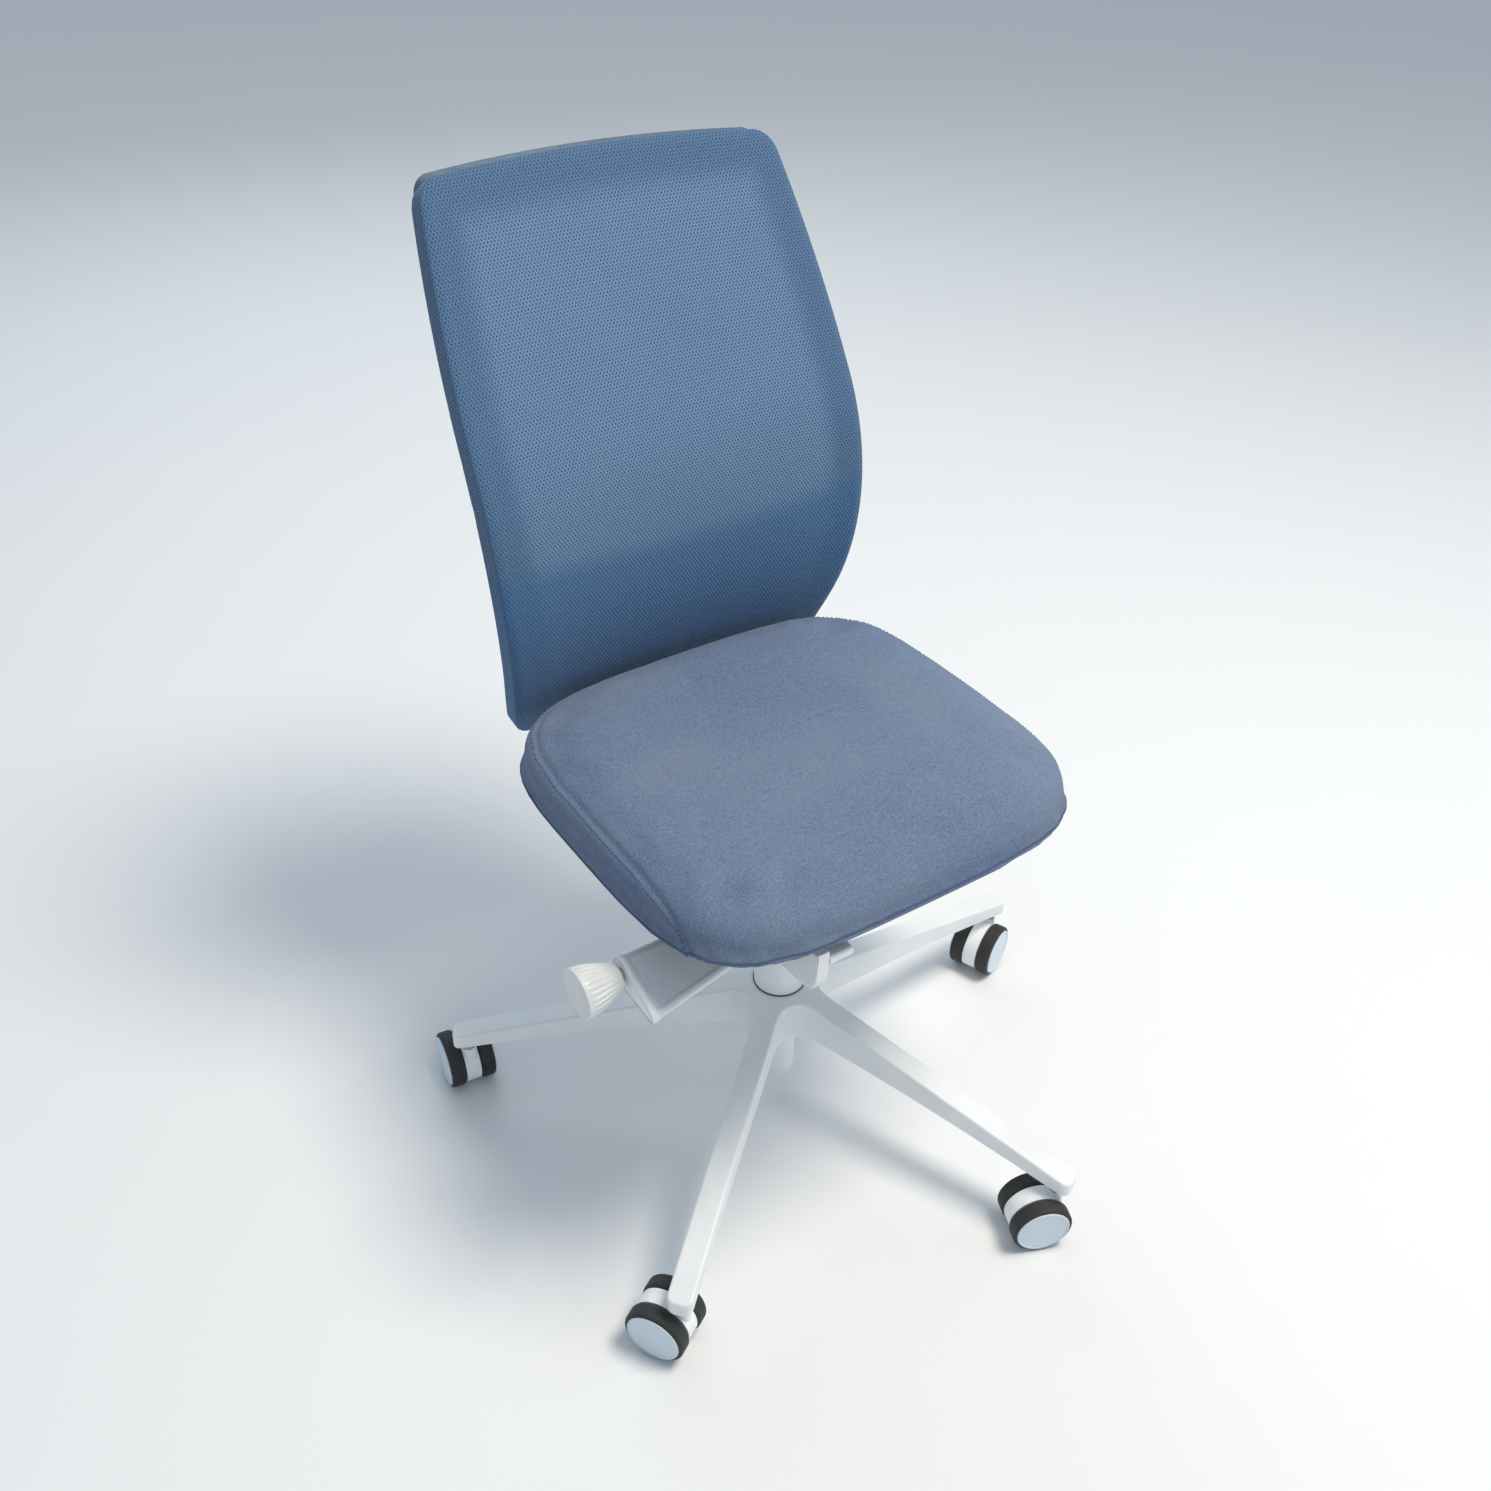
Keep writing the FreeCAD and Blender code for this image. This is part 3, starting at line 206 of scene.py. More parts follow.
def open_knit():
    """Spacer knit: staggered diamond openings painted near-black as painted shade, a tighter border
    painted darker as painted shade where the frame stands behind it, and the lower part painted darker
    and bluer as painted shade.
    """
    s = Shader("back_knit_cloth")
    flat = s.node("ShaderNodeUVMap", uv_map="cloth").outputs["UV"]
    s.place = flat
    pitch = 0.0037
    across = wave(s, (1.0, 0.62, 0.0), pitch)
    along = wave(s, (1.0, -0.62, 0.0), pitch)
    cell = s.maths("MULTIPLY", across, along)
    hole = s.spread(cell, 0.50, 0.80)
    ribs = wave(s, (1.0, 0.0, 0.0), pitch / 2)
    border = s.node("ShaderNodeAttribute", attribute_name="border").outputs["Fac"]
    low_shade = s.node("ShaderNodeAttribute", attribute_name="low_shade").outputs["Fac"]
    centre, edge, deep = (0.112, 0.205, 0.345), (0.036, 0.098, 0.205), (0.010, 0.030, 0.075)
    # painted shade: the border band's yarn is painted darker where the frame behind it stops light
    # coming through the knit
    yarn = s.mix(s.maths("MULTIPLY", border, 0.72), centre, edge)
    # painted shade: the back's lower part is painted darker and bluer, standing in for the shade it
    # turns into below the lumbar curve
    yarn = s.mix(s.maths("MULTIPLY", low_shade, 0.62), yarn, (0.016, 0.118, 0.285))
    yarn = s.mix(s.spread(s.noise(700.0, 2.0), 0.4, 0.7, 0.0, 0.25), yarn, (0.25, 0.38, 0.55))
    yarn = s.mix(s.spread(s.noise(7.0, 3.0), 0.4, 0.65, 0.0, 0.18), yarn, (0.09, 0.17, 0.31))
    # painted shade: the knit's openings are painted near-black with deep, more weakly in the tighter
    # border
    opening = s.maths("MULTIPLY", hole, s.spread(border, 0.0, 1.0, 0.92, 0.75))
    s.join(s.mix(opening, yarn, deep), s.surface.inputs["Base Color"])
    s.join(s.spread(ribs, 0.0, 1.0, 0.74, 0.9), s.surface.inputs["Roughness"])
    s.surface.inputs["Sheen Weight"].default_value = 0.18
    s.surface.inputs["Specular IOR Level"].default_value = 0.3
    depth = s.bump(s.maths("SUBTRACT", 1.0, cell), 0.8, 0.0009)
    fine = s.bump(ribs, 0.3, 0.0003, depth)
    s.bump(s.noise(1300.0, 2.0), 0.25, 0.0002, fine)
    return s.material


def thread_and_gap_shadow():
    s = Shader("stitch_thread_and_gap_shadow")
    twist = wave(s, (1.0, 1.0, 1.4), 0.0007)
    s.join(s.mix(twist, (0.03, 0.05, 0.12), (0.09, 0.13, 0.25)), s.surface.inputs["Base Color"])
    s.join(s.spread(twist, 0.0, 1.0, 0.55, 0.75), s.surface.inputs["Roughness"])
    s.bump(twist, 0.5, 0.0002)
    return s.material


SLOTS = {
    "white_plastic": moulded("white_plastic_look", (0.86, 0.875, 0.88), 0.40, dirt=0.05),
    "white_metal": moulded("white_metal_look", (0.86, 0.88, 0.90), 0.36, grain=0.35, dirt=0.05),
    "cylinder_finish": moulded("cylinder_look", (0.02, 0.02, 0.022), 0.30, dirt=0.15, coat=0.2),
    "dark_plastic": moulded("dark_plastic_look", (0.022, 0.023, 0.026), 0.55, dirt=0.2),
    "pan_plastic": moulded("pan_plastic_look", (0.035, 0.042, 0.06), 0.62, grain=0.5, dirt=0.2),
    "knob_plastic": moulded("knob_plastic_look", (0.74, 0.75, 0.755), 0.34, dirt=0.07, coat=0.1),
    "cap_plastic": moulded("cap_plastic_look", (0.64, 0.74, 0.83), 0.36, dirt=0.02, coat=0.10),
    "tyre_rubber": moulded("tyre_rubber_look", (0.030, 0.029, 0.029), 0.66, grain=0.8, dirt=0.3),
    "steel": moulded("steel_look", (0.52, 0.53, 0.55), 0.30, dirt=0.12, metallic=1.0),
    "frame_plastic": moulded("frame_plastic_look", (0.035, 0.075, 0.145), 0.5, dirt=0.15),
    "seat_fabric": heather_cloth(),
    "knit_mesh": open_knit(),
}
SLOT_OF = {part["node"]: part["material_slot"] for part in record["subparts"]}
for name, item in nodes.items():
    item.data.materials.clear()
    item.data.materials.append(SLOTS[SLOT_OF[name]])


# ---------------------------------------------------------------- mesh tools

def new_piece(name, mesh, body, slot, material=None, replaced=()):
    item = bpy.data.objects.new(name, mesh)
    scene.collection.objects.link(item)
    mesh.materials.clear()
    mesh.materials.append(material or SLOTS[slot])
    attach(item, body)
    if replaced:
        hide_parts(*replaced)
    return item


def modified(item):
    """The item's mesh with its modifiers worked in, and the item left bare."""
    graph = bpy.context.evaluated_depsgraph_get()
    mesh = bpy.data.meshes.new_from_object(item.evaluated_get(graph))
    item.modifiers.clear()
    item.data = mesh
    return mesh


def loose_copy(name, source):
    item = bpy.data.objects.new(name, source.data.copy())
    scene.collection.objects.link(item)
    return item


def tree_of(mesh):
    points = [v.co.copy() for v in mesh.vertices]
    return BVHTree.FromPolygons(points, [tuple(p.vertices) for p in mesh.polygons])


def smooth_faces(mesh):
    mesh.polygons.foreach_set("use_smooth", [True] * len(mesh.polygons))


def coordinates(mesh):
    co = np.empty(len(mesh.vertices) * 3)
    mesh.vertices.foreach_get("co", co)
    return co.reshape(-1, 3)


def store(mesh, co):
    mesh.vertices.foreach_set("co", co.astype(np.float32).ravel())
    mesh.update()


def eased(value):
    value = np.clip(value, 0.0, 1.0)
    return value * value * (3 - 2 * value)


# ---------------------------------------------------------------- knitted back

BACK_RAYS = 320
BACK_RINGS = 74
BORDER = 0.040
CLOTH = 0.0016
HEM = 0.014
EDGE_DEPTH = 0.0215
EDGE_ROLL = 0.0032
CLOTH_RISE = 1.06
OUTLINE_INSET = 0.0004
# height share of the back where the painted shade on its lower part begins
LOW_SHADE_SHARE = 0.37


def cut_size(hit, outline, centre_z, low, high):
    """The flat cut's width, length, face area, rim and turned depth.

    They come from the CAD shell and never from the finished cloth.
    """
    def curve_of(first, second):
        """How much longer the shell's front is than its straight run between two (x, z)."""
        steps = [hit(*(first + (second - first) * k / 60))[0] for k in range(61)]
        return sum((b - a).length for a, b in zip(steps, steps[1:])) / np.linalg.norm(second - first)

    middle = np.array([0.0, centre_z])
    quarter = BACK_RAYS // 4
    right, top, left, bottom = (outline[k * quarter] + middle for k in range(4))
    tall_curve, wide_curve = curve_of(bottom, top), curve_of(left, right)
    following = np.roll(outline, -1, axis=0)
    crossed = outline[:, 0] * following[:, 1] - following[:, 0] * outline[:, 1]
    face = abs(crossed.sum()) / 2 * tall_curve * wide_curve
    edge = [hit(x, z + centre_z)[0] for x, z in outline]
    rim = sum((b - a).length for a, b in zip(edge, edge[1:] + edge[:1]))
    turned = EDGE_DEPTH + HEM
    width = (high.x - low.x) * wide_curve + 2 * turned
    length = (high.z - low.z) * tall_curve + 2 * turned
    return width, length, face, rim, turned


def back_cloth():
    """The knit, pulled over the frame's front and turned behind its edge."""
    shell = tree_of(nodes["back_mesh"].data)
    low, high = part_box("back_mesh")
    depth, roll = EDGE_DEPTH, EDGE_ROLL
    centre_z = (low.z + high.z) / 2

    def hit(x, z):
        return shell.ray_cast(Vector((x, low.y - 0.1, z)), Vector((0, 1, 0)))

    def edge_distance(direction):
        inside, outside = 0.1, 0.5
        for _ in range(22):
            middle = (inside + outside) / 2
            found = hit(direction[0] * middle, centre_z + direction[1] * middle)[0]
            inside, outside = (middle, outside) if found else (inside, middle)
        return inside - OUTLINE_INSET

    angles = [2 * math.pi * k / BACK_RAYS for k in range(BACK_RAYS)]
    rays = [(math.cos(a), math.sin(a)) for a in angles]
    reach = [edge_distance(ray) for ray in rays]
    outline = np.array([[r[0] * s, r[1] * s] for r, s in zip(rays, reach)])
    points, border, cloth = [], [], []

    def arc_length(z):
        return (z - low.z) * CLOTH_RISE

    def outward(k):
        before, after = outline[k - 1], outline[(k + 1) % BACK_RAYS]
        along = after - before
        normal = np.array([along[1], -along[0]])
        return normal / np.linalg.norm(normal)

    def add(point, edge, u, v):
        points.append(point)
        border.append(edge)
        cloth.append((u, v))

    middle = hit(0.0, centre_z)[0]
    add(middle + Vector((0, -CLOTH, 0)), 0.0, 0.0, arc_length(centre_z))
    for ring in range(1, BACK_RINGS + 1):
        share = (ring / BACK_RINGS) ** 0.92
        for k in range(BACK_RAYS):
            x, z = outline[k] * share
            z += centre_z
            spot, normal = hit(x, z)[:2]
            gap = np.min(np.hypot(outline[:, 0] - x, outline[:, 1] + centre_z - z))
            edge = 1 - eased((gap - 0.5 * BORDER) / (0.75 * BORDER))
            sink = max(0.0, 1 - gap / 0.006) ** 2 * 0.0016
            add(spot + normal * (CLOTH - sink), edge, x, arc_length(z))
    turn = [math.radians(a) for a in (20, 45, 70, 90)]
    wrap = [(roll * math.sin(a), roll * (1 - math.cos(a))) for a in turn]
    wrap += [(roll, roll + (depth - 2 * roll) * k / 4) for k in range(1, 5)]
    wrap += [(roll * math.cos(a), depth - roll + roll * math.sin(a)) for a in turn[:3]]
    wrap += [(-HEM * k / 4, depth) for k in range(1, 5)]
    for out, back in wrap:
        for k in range(BACK_RAYS):
            side = outward(k)
            x, z = outline[k]
            spot, normal = hit(x, z + centre_z)[:2]
            rear = -normal
            push = Vector((side[0], 0, side[1]))
            push = (push - normal * push.dot(normal)).normalized()
            place = spot + push * (out * 0.8) + rear * back
            far = out + back
            add(place, 1.0, x + push.x * far, arc_length(z + centre_z) + push.z * far)
    faces = [(0, k + 1, (k + 1) % BACK_RAYS + 1) for k in range(BACK_RAYS)]
    rings = BACK_RINGS + len(wrap)
    for ring in range(rings - 1):
        base = 1 + ring * BACK_RAYS
        for k in range(BACK_RAYS):
            after = (k + 1) % BACK_RAYS
            faces.append((base + k, base + BACK_RAYS + k,
                          base + BACK_RAYS + after, base + after))
    mesh = bpy.data.meshes.new("back_cloth")
    mesh.from_pydata(points, [], faces)
    mesh.update()
    layer = mesh.uv_layers.new(name="cloth")
    for loop in mesh.loops:
        layer.data[loop.index].uv = cloth[loop.vertex_index]
    # border share: 1 in the band along the frame, where the knit is painted darker as painted shade
    marks = mesh.attributes.new("border", "FLOAT", "POINT")
    marks.data.foreach_set("value", border)
    # painted shade mask: 1 on the lower part of the back, easing to 0 across a line that rises a little
    # towards the sides
    low_shade_layer = mesh.attributes.new("low_shade", "FLOAT", "POINT")
    heights = np.array([p.z for p in points])
    sides = np.array([p.x for p in points])
    shade_line = low.z + LOW_SHADE_SHARE * (high.z - low.z) + 0.02 * (sides / high.x) ** 2
    low_shade_layer.data.foreach_set("value", 1 - eased((heights - shade_line) / 0.03 + 0.5))
    smooth_faces(mesh)
    item = new_piece("back_cloth", mesh, "back", "knit_mesh", replaced=("back_mesh",))
    thick = item.modifiers.new("thickness", "SOLIDIFY")
    thick.thickness = CLOTH
    thick.offset = -1.0
    modified(item)
    smooth_faces(item.data)

    width, length, face, rim, turned = cut_size(hit, outline, centre_z, low, high)


# ---------------------------------------------------------------- seat cushion

SEAM_DROP = 0.0018
SEAM_WIDTH = 0.0030
SEAM_PUFF = 0.0003
SEAM_REACH = 0.016
STITCH_PITCH = 0.0042
STITCH_RADIUS = 0.00058
STITCH_SHIFT = 0.0055
STITCH_SIDES = 8
# size and path of the thin dark cord painted round the pad's foot as the shadow of the gap under it
GAP_SHADOW_RADIUS = 0.0011
GAP_SHADOW_STEPS = 300
GAP_SHADOW_SIDES = 8
GAP_SHADOW_HEIGHT = 0.0062
GAP_SHADOW_SLOPE = math.tan(math.radians(1.1))
CUSHION_VOXEL = 0.0055
FRONT_RUN = 0.115
FRONT_DROP = 0.013
SIDE_DROP = 0.006
TOP_DROP = 0.004
INSET_SCALE = 0.996
HELD_HEIGHT = 0.010
SWELL_PRESSURE = 4.0
SWELL_FRAMES = 20
SWELL_LIMIT = 0.006
# the stitch thread's material, also used for the dark cord that paints the shadow gap under the pad
THREAD_AND_GAP_SHADOW = thread_and_gap_shadow()


def cushion_shape():
    """Crowned pad: flat underneath, dropping at the front, swollen by a pressure run."""
    source = loose_copy("cushion_start", nodes["seat_cushion"])
    low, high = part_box("seat_cushion")
    remesh = source.modifiers.new("even", "REMESH")
    remesh.mode = "VOXEL"
    remesh.voxel_size = CUSHION_VOXEL
    mesh = modified(source)
    co = coordinates(mesh)
    rise = eased((co[:, 2] - low.z) / (high.z - low.z))
    front = np.clip((low.y + FRONT_RUN - co[:, 1]) / FRONT_RUN, 0, 1)
    across = co[:, 0] / high.x
    co[:, 2] -= rise * (front ** 2.4 * FRONT_DROP)
    co[:, 2] -= rise * SIDE_DROP * np.abs(across) ** 3
    co[:, 0] *= INSET_SCALE
    middle_y = (low.y + high.y) / 2
    co[:, 1] = (co[:, 1] - middle_y) * INSET_SCALE + middle_y
    co[:, 2] -= rise * TOP_DROP
    store(mesh, co)
    start = co.copy()
    held = source.vertex_groups.new(name="held")
    bottom = [i for i in range(len(co)) if co[i, 2] < low.z + HELD_HEIGHT]
    held.add(bottom, 1.0, "REPLACE")
    cloth = source.modifiers.new("swell", "CLOTH")
    cloth.settings.use_pressure = True
    cloth.settings.uniform_pressure_force = SWELL_PRESSURE
    cloth.settings.vertex_group_mass = "held"
    cloth.settings.quality = 5
    cloth.settings.effector_weights.gravity = 0
    cloth.point_cache.frame_start = 1
    cloth.point_cache.frame_end = SWELL_FRAMES
    for number in range(1, SWELL_FRAMES + 1):
        scene.frame_set(number)
    mesh = modified(source)
    scene.frame_set(1)
    moved = coordinates(mesh) - start
    length = np.linalg.norm(moved, axis=1, keepdims=True)
    moved *= np.minimum(1.0, SWELL_LIMIT / np.maximum(length, 1e-9))
    store(mesh, start + moved)
    relax = source.modifiers.new("relax", "SMOOTH")
    relax.iterations = 3
    relax.factor = 0.5
    finer = source.modifiers.new("finer", "SUBSURF")
    finer.levels = 1
    finer.render_levels = 1
    mesh = modified(source)
    co = coordinates(mesh)
    co[:, 2] = np.maximum(co[:, 2], low.z + 0.0004)
    store(mesh, co)
    bpy.data.objects.remove(source)
    return mesh


def seam_route(mesh, side):
    """Surface points of the join between top and side panel, from rear to front."""
    low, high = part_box("seat_cushion")
    tree = tree_of(mesh)
    tall, deep = high.z - low.z, high.y - low.y
    # share of the depth from the front, share of the height, share of the half width
    guide = [(0.99, 0.92, 0.45), (0.97, 0.92, 0.68), (0.89, 0.92, 0.86), (0.76, 0.92, 0.95),
             (0.50, 0.92, 0.965), (0.32, 0.90, 0.96), (0.20, 0.72, 0.955), (0.135, 0.33, 0.95),
             (0.105, 0.02, 0.93)]
    curve = bpy.data.curves.new("route", "CURVE")
    curve.dimensions = "3D"
    curve.resolution_u = 40
    spline = curve.splines.new("NURBS")
    spline.points.add(len(guide) - 1)
    for point, (back, up, out) in zip(spline.points, guide):
        point.co = (side * high.x * out, low.y + deep * back, low.z + tall * up, 1)
    spline.order_u = 3
    spline.use_endpoint_u = True
    item = bpy.data.objects.new("route", curve)
    scene.collection.objects.link(item)
    graph = bpy.context.evaluated_depsgraph_get()
    line = bpy.data.meshes.new_from_object(item.evaluated_get(graph))
    path = [v.co.copy() for v in line.vertices]
    bpy.data.objects.remove(item)
    return [tree.find_nearest(point)[:2] for point in path]


def even_steps(route, step):
    """Points every step along a route of (place, normal)."""
    places = [place for place, _ in route]
    found, left = [], 0.0
    for k in range(len(places) - 1):
        span = (places[k + 1] - places[k]).length
        while left < span:
            share = left / span
            normal = route[k][1].lerp(route[k + 1][1], share).normalized()
            along = (places[k + 1] - places[k]).normalized()
            found.append((places[k].lerp(places[k + 1], share), normal, along))
            left += step
        left -= span
    return found


def press_seam(mesh, route):
    """A narrow valley along the route, with the cloth puffed either side."""
    line = even_steps(route, 0.001)
    near = KDTree(len(line))
    for k, (place, _, _) in enumerate(line):
        near.insert(place, k)
    near.balance()
    for vertex in mesh.vertices:
        gap = near.find(vertex.co)[2]
        if gap < SEAM_REACH:
            valley = -SEAM_DROP * math.exp(-(gap / SEAM_WIDTH) ** 2)
            puff = SEAM_PUFF * math.exp(-((gap - 0.008) / 0.004) ** 2)
            vertex.co += vertex.normal * (valley + puff)
    mesh.update()


def stitches(name, mesh, route, shift):
    """Short rounded stitches lying on the cloth beside a seam."""
    tree = tree_of(mesh)
    shape = bmesh.new()
    for place, normal, along in even_steps(route, STITCH_PITCH):
        beside = normal.cross(along).normalized()
        spot, up = tree.find_nearest(place + beside * shift)[:2]
        run = (along - up * along.dot(up)).normalized()
        wide = up.cross(run)
        ring = []
        for end in (-1.0, -0.6, 0.0, 0.6, 1.0):
            size = STITCH_RADIUS * (0.35 if abs(end) == 1 else 1.0)
            height = 0.00022 - 0.0005 * end * end
            middle = spot + run * (0.0014 * end) + up * height
            ring.append([shape.verts.new(middle + (wide * math.cos(a) + up * math.sin(a)) * size)
                         for a in (2 * math.pi * k / STITCH_SIDES for k in range(STITCH_SIDES))])
        for first, second in zip(ring, ring[1:]):
            for k in range(STITCH_SIDES):
                after = (k + 1) % STITCH_SIDES
                shape.faces.new((first[k], first[after], second[after], second[k]))
        shape.faces.new(ring[0][::-1])
        shape.faces.new(ring[-1])
    bmesh.ops.recalc_face_normals(shape, faces=shape.faces)
    result = bpy.data.meshes.new(name)
    shape.to_mesh(result)
    shape.free()
    smooth_faces(result)
    return new_piece(name, result, "seat", "seat_fabric", THREAD_AND_GAP_SHADOW)


def shadow_gap_cord(mesh):
    """A thin dark cord round the pad's foot, just above the pan: painted shadow of the gap where the
    cover is drawn under the pad.
    """
    low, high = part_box("seat_cushion")
    tree = tree_of(mesh)
    middle_y = (low.y + high.y) / 2
    path = []
    for k in range(GAP_SHADOW_STEPS):
        a = 2 * math.pi * k / GAP_SHADOW_STEPS
        way = Vector((math.cos(a), math.sin(a), 0))
        start = Vector((0, middle_y, 0)) + way * 0.6
        start.z = low.z + 0.0085 - GAP_SHADOW_SLOPE * 0.22
        for _ in range(2):
            spot = tree.ray_cast(start, -way)[0]
            start.z = low.z + GAP_SHADOW_HEIGHT + GAP_SHADOW_SLOPE * (high.y - spot.y)
        path.append(tree.ray_cast(start, -way)[0])
    shape = bmesh.new()
    rings = []
    for k, spot in enumerate(path):
        along = (path[(k + 1) % GAP_SHADOW_STEPS] - path[k - 1]).normalized()
        out = along.cross(Vector((0, 0, 1))).normalized()
        rise = out.cross(along)
        rings.append([shape.verts.new(spot + (out * math.cos(b) + rise * math.sin(b)) * GAP_SHADOW_RADIUS)
                      for b in (2 * math.pi * j / GAP_SHADOW_SIDES for j in range(GAP_SHADOW_SIDES))])
    for k in range(GAP_SHADOW_STEPS):
        here, after = rings[k], rings[(k + 1) % GAP_SHADOW_STEPS]
        for j in range(GAP_SHADOW_SIDES):
            nxt = (j + 1) % GAP_SHADOW_SIDES
            shape.faces.new((here[j], here[nxt], after[nxt], after[j]))
    bmesh.ops.recalc_face_normals(shape, faces=shape.faces)
    result = bpy.data.meshes.new("seat_shadow_gap_cord")
    shape.to_mesh(result)
    shape.free()
    smooth_faces(result)
    return new_piece("seat_shadow_gap_cord", result, "seat", "seat_fabric", THREAD_AND_GAP_SHADOW)


def seat():
    mesh = cushion_shape()
    routes = {side: seam_route(mesh, side) for side in (-1, 1)}
    for route in routes.values():
        press_seam(mesh, route)
    smooth_faces(mesh)
    cushion = new_piece("seat_pad", mesh, "seat", "seat_fabric", replaced=("seat_cushion",))
    for side, route in routes.items():
        word = "left" if side > 0 else "right"
        stitches("seam_stitches_%s" % word, mesh, route, STITCH_SHIFT * side)
    # the dark cord at the pad's foot is painted shadow of the gap above the pan
    shadow_gap_cord(mesh)


# ---------------------------------------------------------------- moulded pieces

COLLAR_EDGE = 0.008
COLLAR_PROUD = 0.0012
COLLAR_STEPS = 160
KNOB_FLUTES = 26
KNOB_STEPS = KNOB_FLUTES * 12
KNOB_LENGTH = 0.042
KNOB_NECK = 0.0135
KNOB_SHAFT = 0.006
KNOB_FLUTE_DEPTH = 0.0024
JOINT_RADIUS = 0.0007
BEVEL_SEGMENTS = 3


def softened(node, width):
    """A copy of a hard-edged moulding with its sharp edges rolled over."""
    source = nodes[node]
    mesh = source.data.copy()
    shape = bmesh.new()
    shape.from_mesh(mesh)
    bmesh.ops.remove_doubles(shape, verts=shape.verts, dist=1e-6)
    bmesh.ops.dissolve_limit(shape, angle_limit=math.radians(1.0),
                             verts=shape.verts, edges=shape.edges)
    shape.to_mesh(mesh)
    shape.free()
    item = new_piece(node + "_moulding", mesh, source["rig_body"], SLOT_OF[node], replaced=(node,))
    bevel = item.modifiers.new("rolled", "BEVEL")
    bevel.width = width
    bevel.segments = BEVEL_SEGMENTS
    bevel.limit_method = "ANGLE"
    bevel.angle_limit = math.radians(32)
    bevel.harden_normals = True
    weighted = item.modifiers.new("normals", "WEIGHTED_NORMAL")
    weighted.keep_sharp = True
    smooth_faces(mesh)
    modified(item)


def lathe(name, profile, body, slot, centre=(0, 0, 0), steps=96):
    """A ring turned about a vertical axis from (radius, height) corners."""
    shape = bmesh.new()
    rings = []
    for k in range(steps):
        a = 2 * math.pi * k / steps
        rings.append([shape.verts.new((centre[0] + r * math.cos(a), centre[1] + r * math.sin(a),
                                       centre[2] + z)) for r, z in profile])
    for k in range(steps):
        here, after = rings[k], rings[(k + 1) % steps]
        for j in range(len(profile)):
            nxt = (j + 1) % len(profile)
            shape.faces.new((here[j], here[nxt], after[nxt], after[j]))
    bmesh.ops.recalc_face_normals(shape, faces=shape.faces)
    mesh = bpy.data.meshes.new(name)
    shape.to_mesh(mesh)
    shape.free()
    smooth_faces(mesh)
    return new_piece(name, mesh, body, slot)


def seam_ring():
    """The dark joint line where the column's cover stands on the hub."""
    low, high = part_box("column_cover")
    radius = (high.x - low.x) / 2
    round_section = [(radius + 0.0003 + JOINT_RADIUS * math.cos(a), 0.0008 + JOINT_RADIUS * math.sin(a))
                     for a in (math.radians(45 * k) for k in range(8))]
    return lathe("cover_joint", round_section, "base", "dark_plastic", (0, 0, low.z))


def fluted_knob():
    """The tension knob: a convex cone with flutes that deepen towards its wide end."""
    low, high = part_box("tension_knob")
    centre_z = (low.z + high.z) / 2
    centre_y = (low.y + high.y) / 2
    wide, narrow = (high.z - low.z) / 2, KNOB_NECK
    start, end = low.x, low.x + KNOB_LENGTH
    shape = bmesh.new()
    rings = []

    def ring_at(x, radius, depth):
        row = []
        for k in range(KNOB_STEPS):
            a = 2 * math.pi * k / KNOB_STEPS
            dip = 0.5 - 0.5 * math.cos(KNOB_FLUTES * a)
            r = radius - depth * (1 - dip) ** 1.6
            row.append(shape.verts.new((x, centre_y + r * math.cos(a),
                                        centre_z + r * math.sin(a))))
        rings.append(row)

    for x, radius in ((end, KNOB_SHAFT), (end, narrow * 0.8)):
        ring_at(x, radius, 0.0)
    for k in range(29):
        share = k / 28
        radius = narrow + (wide - 0.0006 - narrow) * math.sin(share * math.pi / 2) ** 1.15
        fade = math.sin(math.pi * min(share / 0.94, 1.0)) ** 0.6 if share < 0.94 else 0.0
        ring_at(end - (KNOB_LENGTH - 0.003) * share, radius, KNOB_FLUTE_DEPTH * share * fade)
    for x, radius in ((0.0022, wide), (0.0008, wide - 0.0004), (0.0, wide - 0.0018),
                      (0.0005, wide - 0.0040), (0.0005, wide * 0.5), (0.0005, 0.0008)):
        ring_at(start + x, radius, 0.0)
    for first, second in zip(rings, rings[1:]):
        for k in range(KNOB_STEPS):
            after = (k + 1) % KNOB_STEPS
            shape.faces.new((first[k], first[after], second[after], second[k]))
    shape.faces.new(rings[-1])
    shaft = [shape.verts.new((high.x, centre_y + KNOB_SHAFT * math.cos(a),
                              centre_z + KNOB_SHAFT * math.sin(a)))
             for a in (2 * math.pi * k / KNOB_STEPS for k in range(KNOB_STEPS))]
    for k in range(KNOB_STEPS):
        after = (k + 1) % KNOB_STEPS
        shape.faces.new((shaft[k], shaft[after], rings[0][after], rings[0][k]))
    shape.faces.new(shaft[::-1])
    bmesh.ops.recalc_face_normals(shape, faces=shape.faces)
    mesh = bpy.data.meshes.new("fluted_knob")
    shape.to_mesh(mesh)
    shape.free()
    smooth_faces(mesh)
    return new_piece("fluted_knob", mesh, "knob", "knob_plastic", replaced=("tension_knob",))


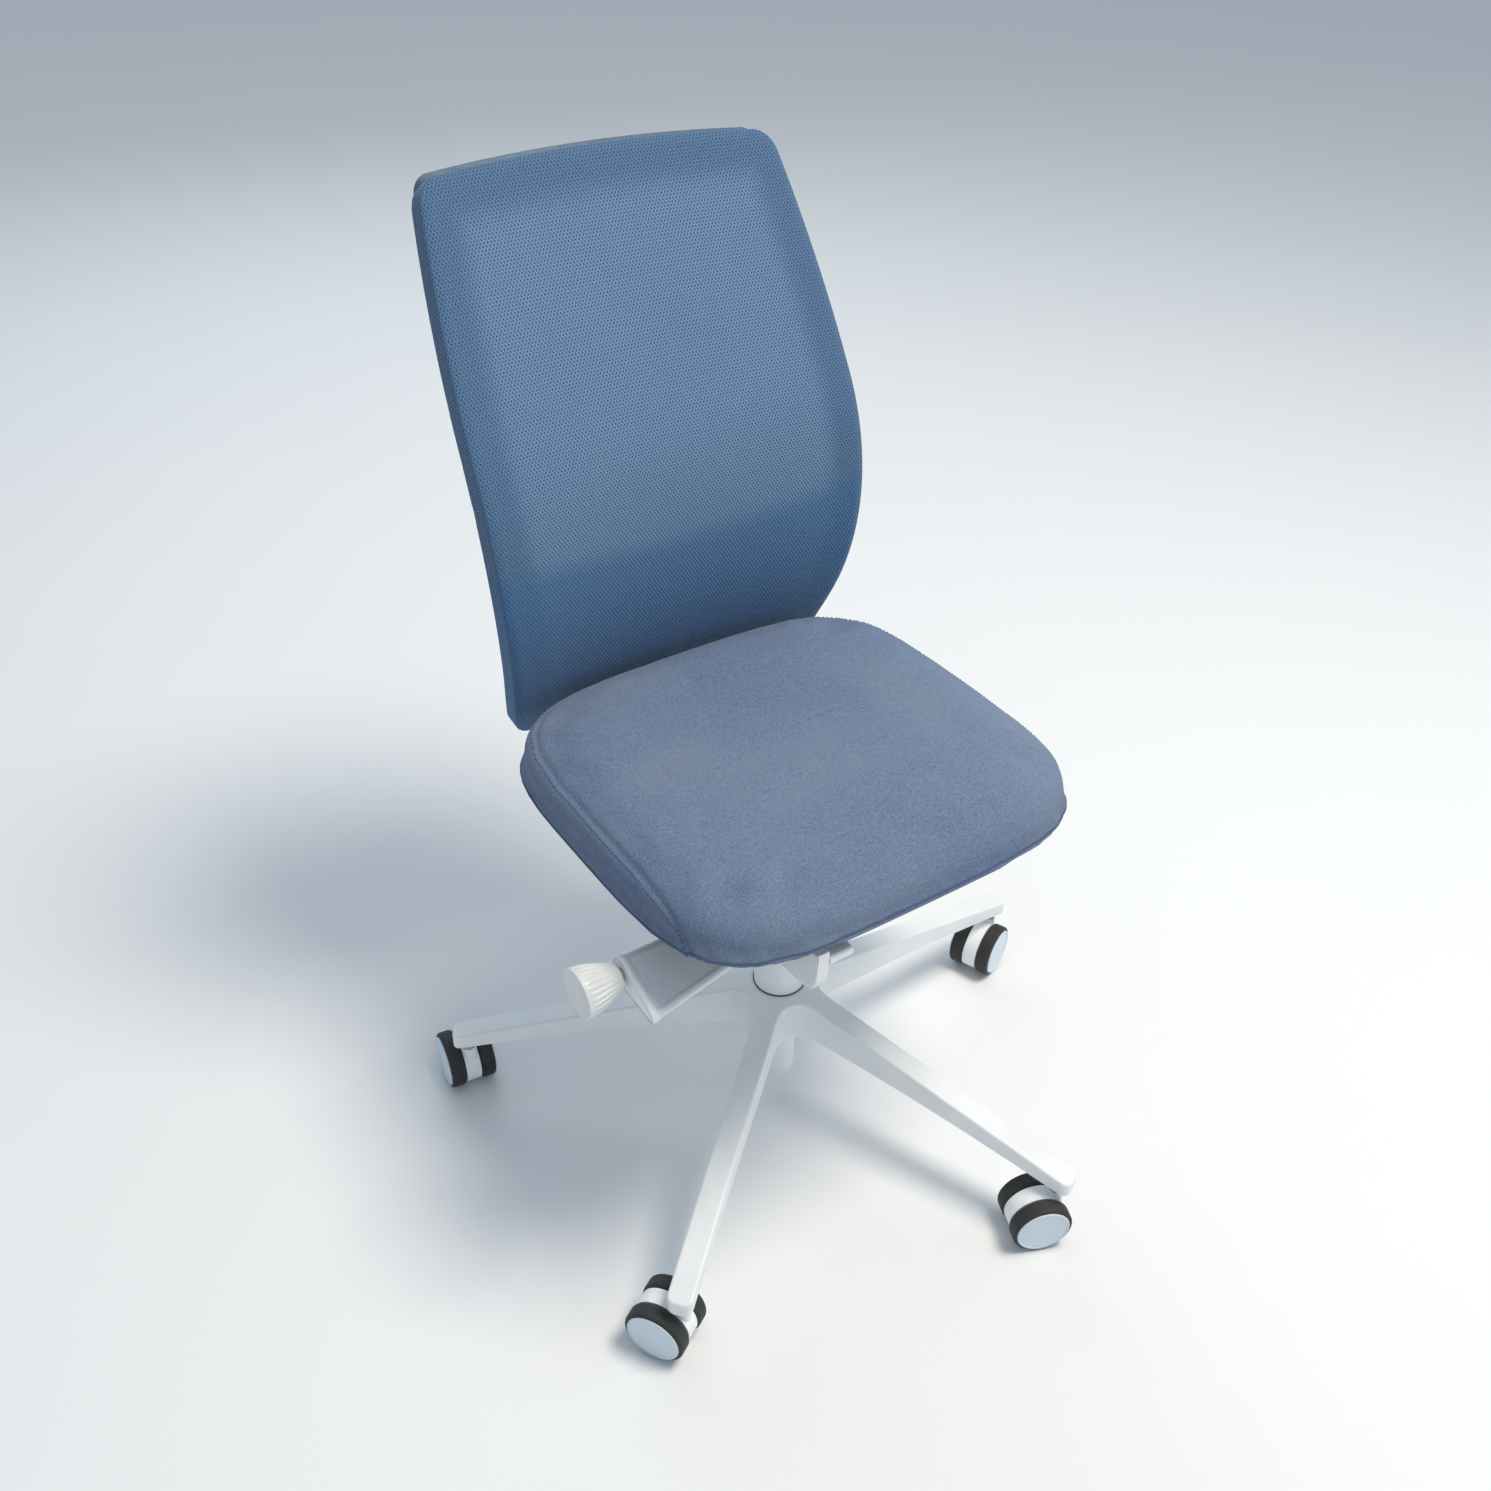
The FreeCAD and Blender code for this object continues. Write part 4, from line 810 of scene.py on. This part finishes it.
def paddle_collar():
    """A proud rounded band round the paddle's outer end."""
    source = tree_of(nodes["height_paddle"].data)
    low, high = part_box("height_paddle")
    end = [v.co for v in nodes["height_paddle"].data.vertices if v.co.x < low.x + 0.004]
    middle = sum(end, Vector()) / len(end)
    rows = []
    section = [(COLLAR_EDGE * (1 - math.cos(a)) / 2, COLLAR_PROUD * math.sin(a))
               for a in (math.pi * k / 10 for k in range(11))]
    for k in range(COLLAR_STEPS):
        a = 2 * math.pi * k / COLLAR_STEPS
        way = Vector((0, math.cos(a), math.sin(a)))
        start = Vector((low.x + COLLAR_EDGE / 2, middle.y, middle.z)) + way * 0.2
        spot = source.ray_cast(start, -way)[0]
        if spot is None:
            raise RuntimeError("paddle_collar: no edge found at step %d" % k)
        rows.append([(low.x + along, spot.y + way.y * out, spot.z + way.z * out)
                     for along, out in section])
    shape = bmesh.new()
    rings = [[shape.verts.new(point) for point in row] for row in rows]
    for k in range(len(rings)):
        here, after = rings[k], rings[(k + 1) % len(rings)]
        for j in range(len(section)):
            nxt = (j + 1) % len(section)
            shape.faces.new((here[j], here[nxt], after[nxt], after[j]))
    bmesh.ops.recalc_face_normals(shape, faces=shape.faces)
    mesh = bpy.data.meshes.new("paddle_collar")
    shape.to_mesh(mesh)
    shape.free()
    smooth_faces(mesh)
    return new_piece("paddle_collar", mesh, "paddle", "white_plastic")


back_cloth()
seat()
seam_ring()
fluted_knob()
paddle_collar()
for node, width in (("height_paddle", 0.0016), ("lock_bracket", 0.0010), ("lock_lever", 0.0012)):
    softened(node, width)


# ---------------------------------------------------------------- floor, light, camera

def floor():
    mesh = bpy.data.meshes.new("floor")
    size = 12.0
    corners = [(-size, -size, 0), (size, -size, 0), (size, size, 0), (-size, size, 0)]
    mesh.from_pydata(corners, [], [(0, 1, 2, 3)])
    item = bpy.data.objects.new("floor", mesh)
    scene.collection.objects.link(item)
    s = Shader("pale_floor")
    s.join(s.mix(s.noise(3.0), (0.86, 0.86, 0.86), (0.84, 0.845, 0.85)), s.surface.inputs["Base Color"])
    s.surface.inputs["Roughness"].default_value = 0.8
    mesh.materials.append(s.material)


def area_light(name, place, target, size, power, tint):
    lamp = bpy.data.lights.new(name, "AREA")
    lamp.shape = "DISK"
    lamp.size = size
    lamp.energy = power
    lamp.color = tint
    item = bpy.data.objects.new(name, lamp)
    scene.collection.objects.link(item)
    item.location = place
    item.rotation_euler = (Vector(target) - Vector(place)).to_track_quat("-Z", "Y").to_euler()


floor()
area_light("key", (0.9, -0.9, 3.5), (0, 0, 0.4), 1.3, 92, (1.0, 0.92, 0.80))
area_light("fill", (2.6, -2.0, 1.8), (0, 0, 0.4), 2.6, 14, (0.80, 0.90, 1.0))
area_light("rear", (0.6, 2.8, 2.4), (0, 0, 0.5), 2.4, 20, (0.90, 0.95, 1.0))
world = bpy.data.worlds.new("studio")
world.use_nodes = True
world.node_tree.nodes["Background"].inputs["Color"].default_value = (0.74, 0.87, 1.0, 1)
world.node_tree.nodes["Background"].inputs["Strength"].default_value = 0.50
scene.world = world
scene.view_settings.view_transform = "Standard"

CAMERA_PLACE = Vector((-0.6924, -0.9055, 1.3405))
CAMERA_AZIMUTH, CAMERA_ELEVATION, CAMERA_ROLL = (math.radians(a) for a in (-35.1, 36.8, 1.93))
camera = bpy.data.cameras.new("camera")
camera.sensor_width = 36.0
camera.lens = 35.25
camera_item = bpy.data.objects.new("camera", camera)
scene.collection.objects.link(camera_item)
right = Vector((math.cos(CAMERA_AZIMUTH), math.sin(CAMERA_AZIMUTH), 0))
back = Vector((math.sin(CAMERA_AZIMUTH) * math.cos(CAMERA_ELEVATION),
               -math.cos(CAMERA_AZIMUTH) * math.cos(CAMERA_ELEVATION), math.sin(CAMERA_ELEVATION)))
up = back.cross(right)
turn, across = math.cos(CAMERA_ROLL), math.sin(CAMERA_ROLL)
rolled_right = right * turn + up * across
rolled_up = up * turn - right * across
camera_item.matrix_world = Matrix.Translation(CAMERA_PLACE) @ Matrix(
    (rolled_right, rolled_up, back)).transposed().to_4x4()
scene.camera = camera_item
